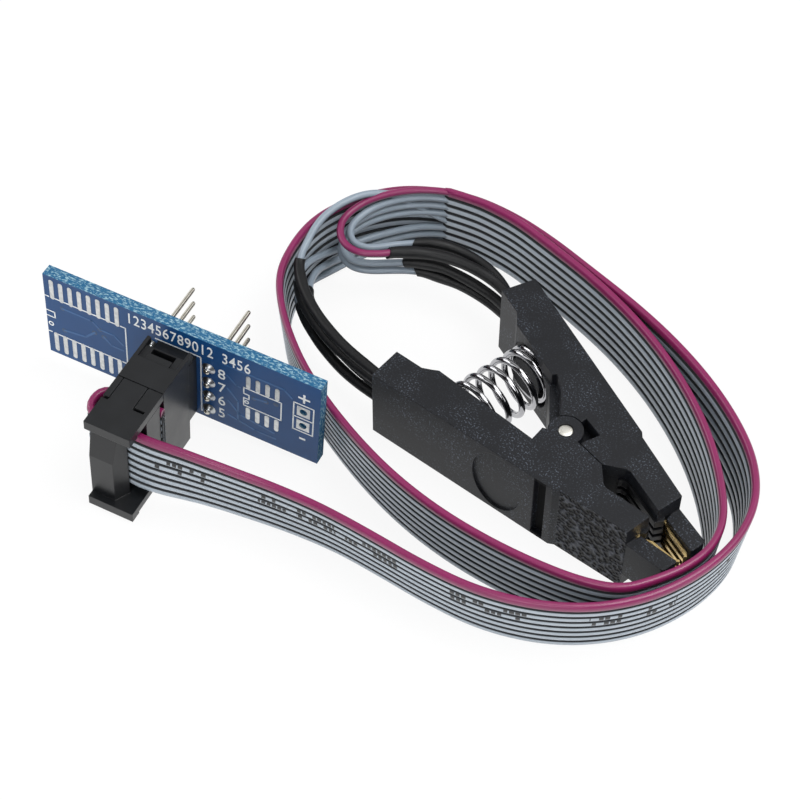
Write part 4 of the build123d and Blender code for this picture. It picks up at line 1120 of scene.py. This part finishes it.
class CLIP_OT_stage(bpy.types.Operator):
    """Sets the pale floor, the soft lamps and the camera"""
    bl_idname = "test_clip.stage"
    bl_label = "Stage"

    def execute(self, context):
        cfg = context.scene.test_stage
        # floor: a square far larger than the clip, a hair below it
        edge = np.array([-FLOOR_SIZE, FLOOR_SIZE]) / 2
        x, y = np.meshgrid(edge, edge)
        grid = np.stack([x, y, np.full_like(x, FLOOR_AT)], axis=-1)
        floor = surface("floor", [grid], wrap=False, caps=False, smooth=False)
        dress(floor, floor_paint(cfg))
        context.scene.world = studio(cfg)
        for name, place, size, share in LAMPS:
            lamp = bpy.data.lights.new(name, "AREA")
            lamp.shape = "DISK"
            lamp.size = size
            lamp.energy = cfg.lamp_power * share
            aim(name, lamp, place, LAMP_TARGET)
        camera = bpy.data.cameras.new("camera")
        camera.lens = cfg.lens
        camera.clip_start = 0.01
        context.scene.camera = aim("camera", camera, CAMERA_AT, CAMERA_TARGET)
        context.scene.view_settings.view_transform = "Standard"
        return {"FINISHED"}


# ------------------------------------------------------------------ the add-on
class CLIP_PT_panel(bpy.types.Panel):
    """Lists the steps and the settings in the sidebar"""
    bl_idname = "CLIP_PT_panel"
    bl_label = "Test clip"
    bl_space_type = "VIEW_3D"
    bl_region_type = "UI"
    bl_category = "Test Clip"

    def draw(self, context):
        for step in STEPS:
            self.layout.operator(step.bl_idname)
        for name in SETTINGS:
            group = getattr(context.scene, name)
            box = self.layout.box()
            for key in group.__annotations__:
                box.prop(group, key)


SETTINGS = {"test_clip": ClipSettings, "test_cable": CableSettings, "test_board": BoardSettings,
            "test_stage": StageSettings}
STEPS = (CLIP_OT_stage, CLIP_OT_jaws, CLIP_OT_hinge_pin, CLIP_OT_spring, CLIP_OT_ribbon, CLIP_OT_leads,
         CLIP_OT_board, CLIP_OT_board_marks, CLIP_OT_pads, CLIP_OT_pins, CLIP_OT_socket)


def register():
    """Registers the settings, the steps and the panel."""
    for name, group in SETTINGS.items():
        bpy.utils.register_class(group)
        setattr(bpy.types.Scene, name, bpy.props.PointerProperty(type=group))
    for step in (*STEPS, CLIP_PT_panel):
        bpy.utils.register_class(step)


def unregister():
    """Takes the panel, the steps and the settings out again."""
    for step in (CLIP_PT_panel, *reversed(STEPS)):
        bpy.utils.unregister_class(step)
    for name, group in SETTINGS.items():
        delattr(bpy.types.Scene, name)
        bpy.utils.unregister_class(group)


def main():
    """Builds the clip step by step."""
    register()
    bpy.ops.test_clip.stage()
    bpy.ops.test_clip.jaws()
    bpy.ops.test_clip.hinge_pin()
    bpy.ops.test_clip.spring()
    bpy.ops.test_clip.ribbon()
    bpy.ops.test_clip.leads()
    bpy.ops.test_clip.board()
    bpy.ops.test_clip.board_marks()
    bpy.ops.test_clip.pads()
    bpy.ops.test_clip.pins()
    bpy.ops.test_clip.socket()


if __name__ == "__main__":
    main()
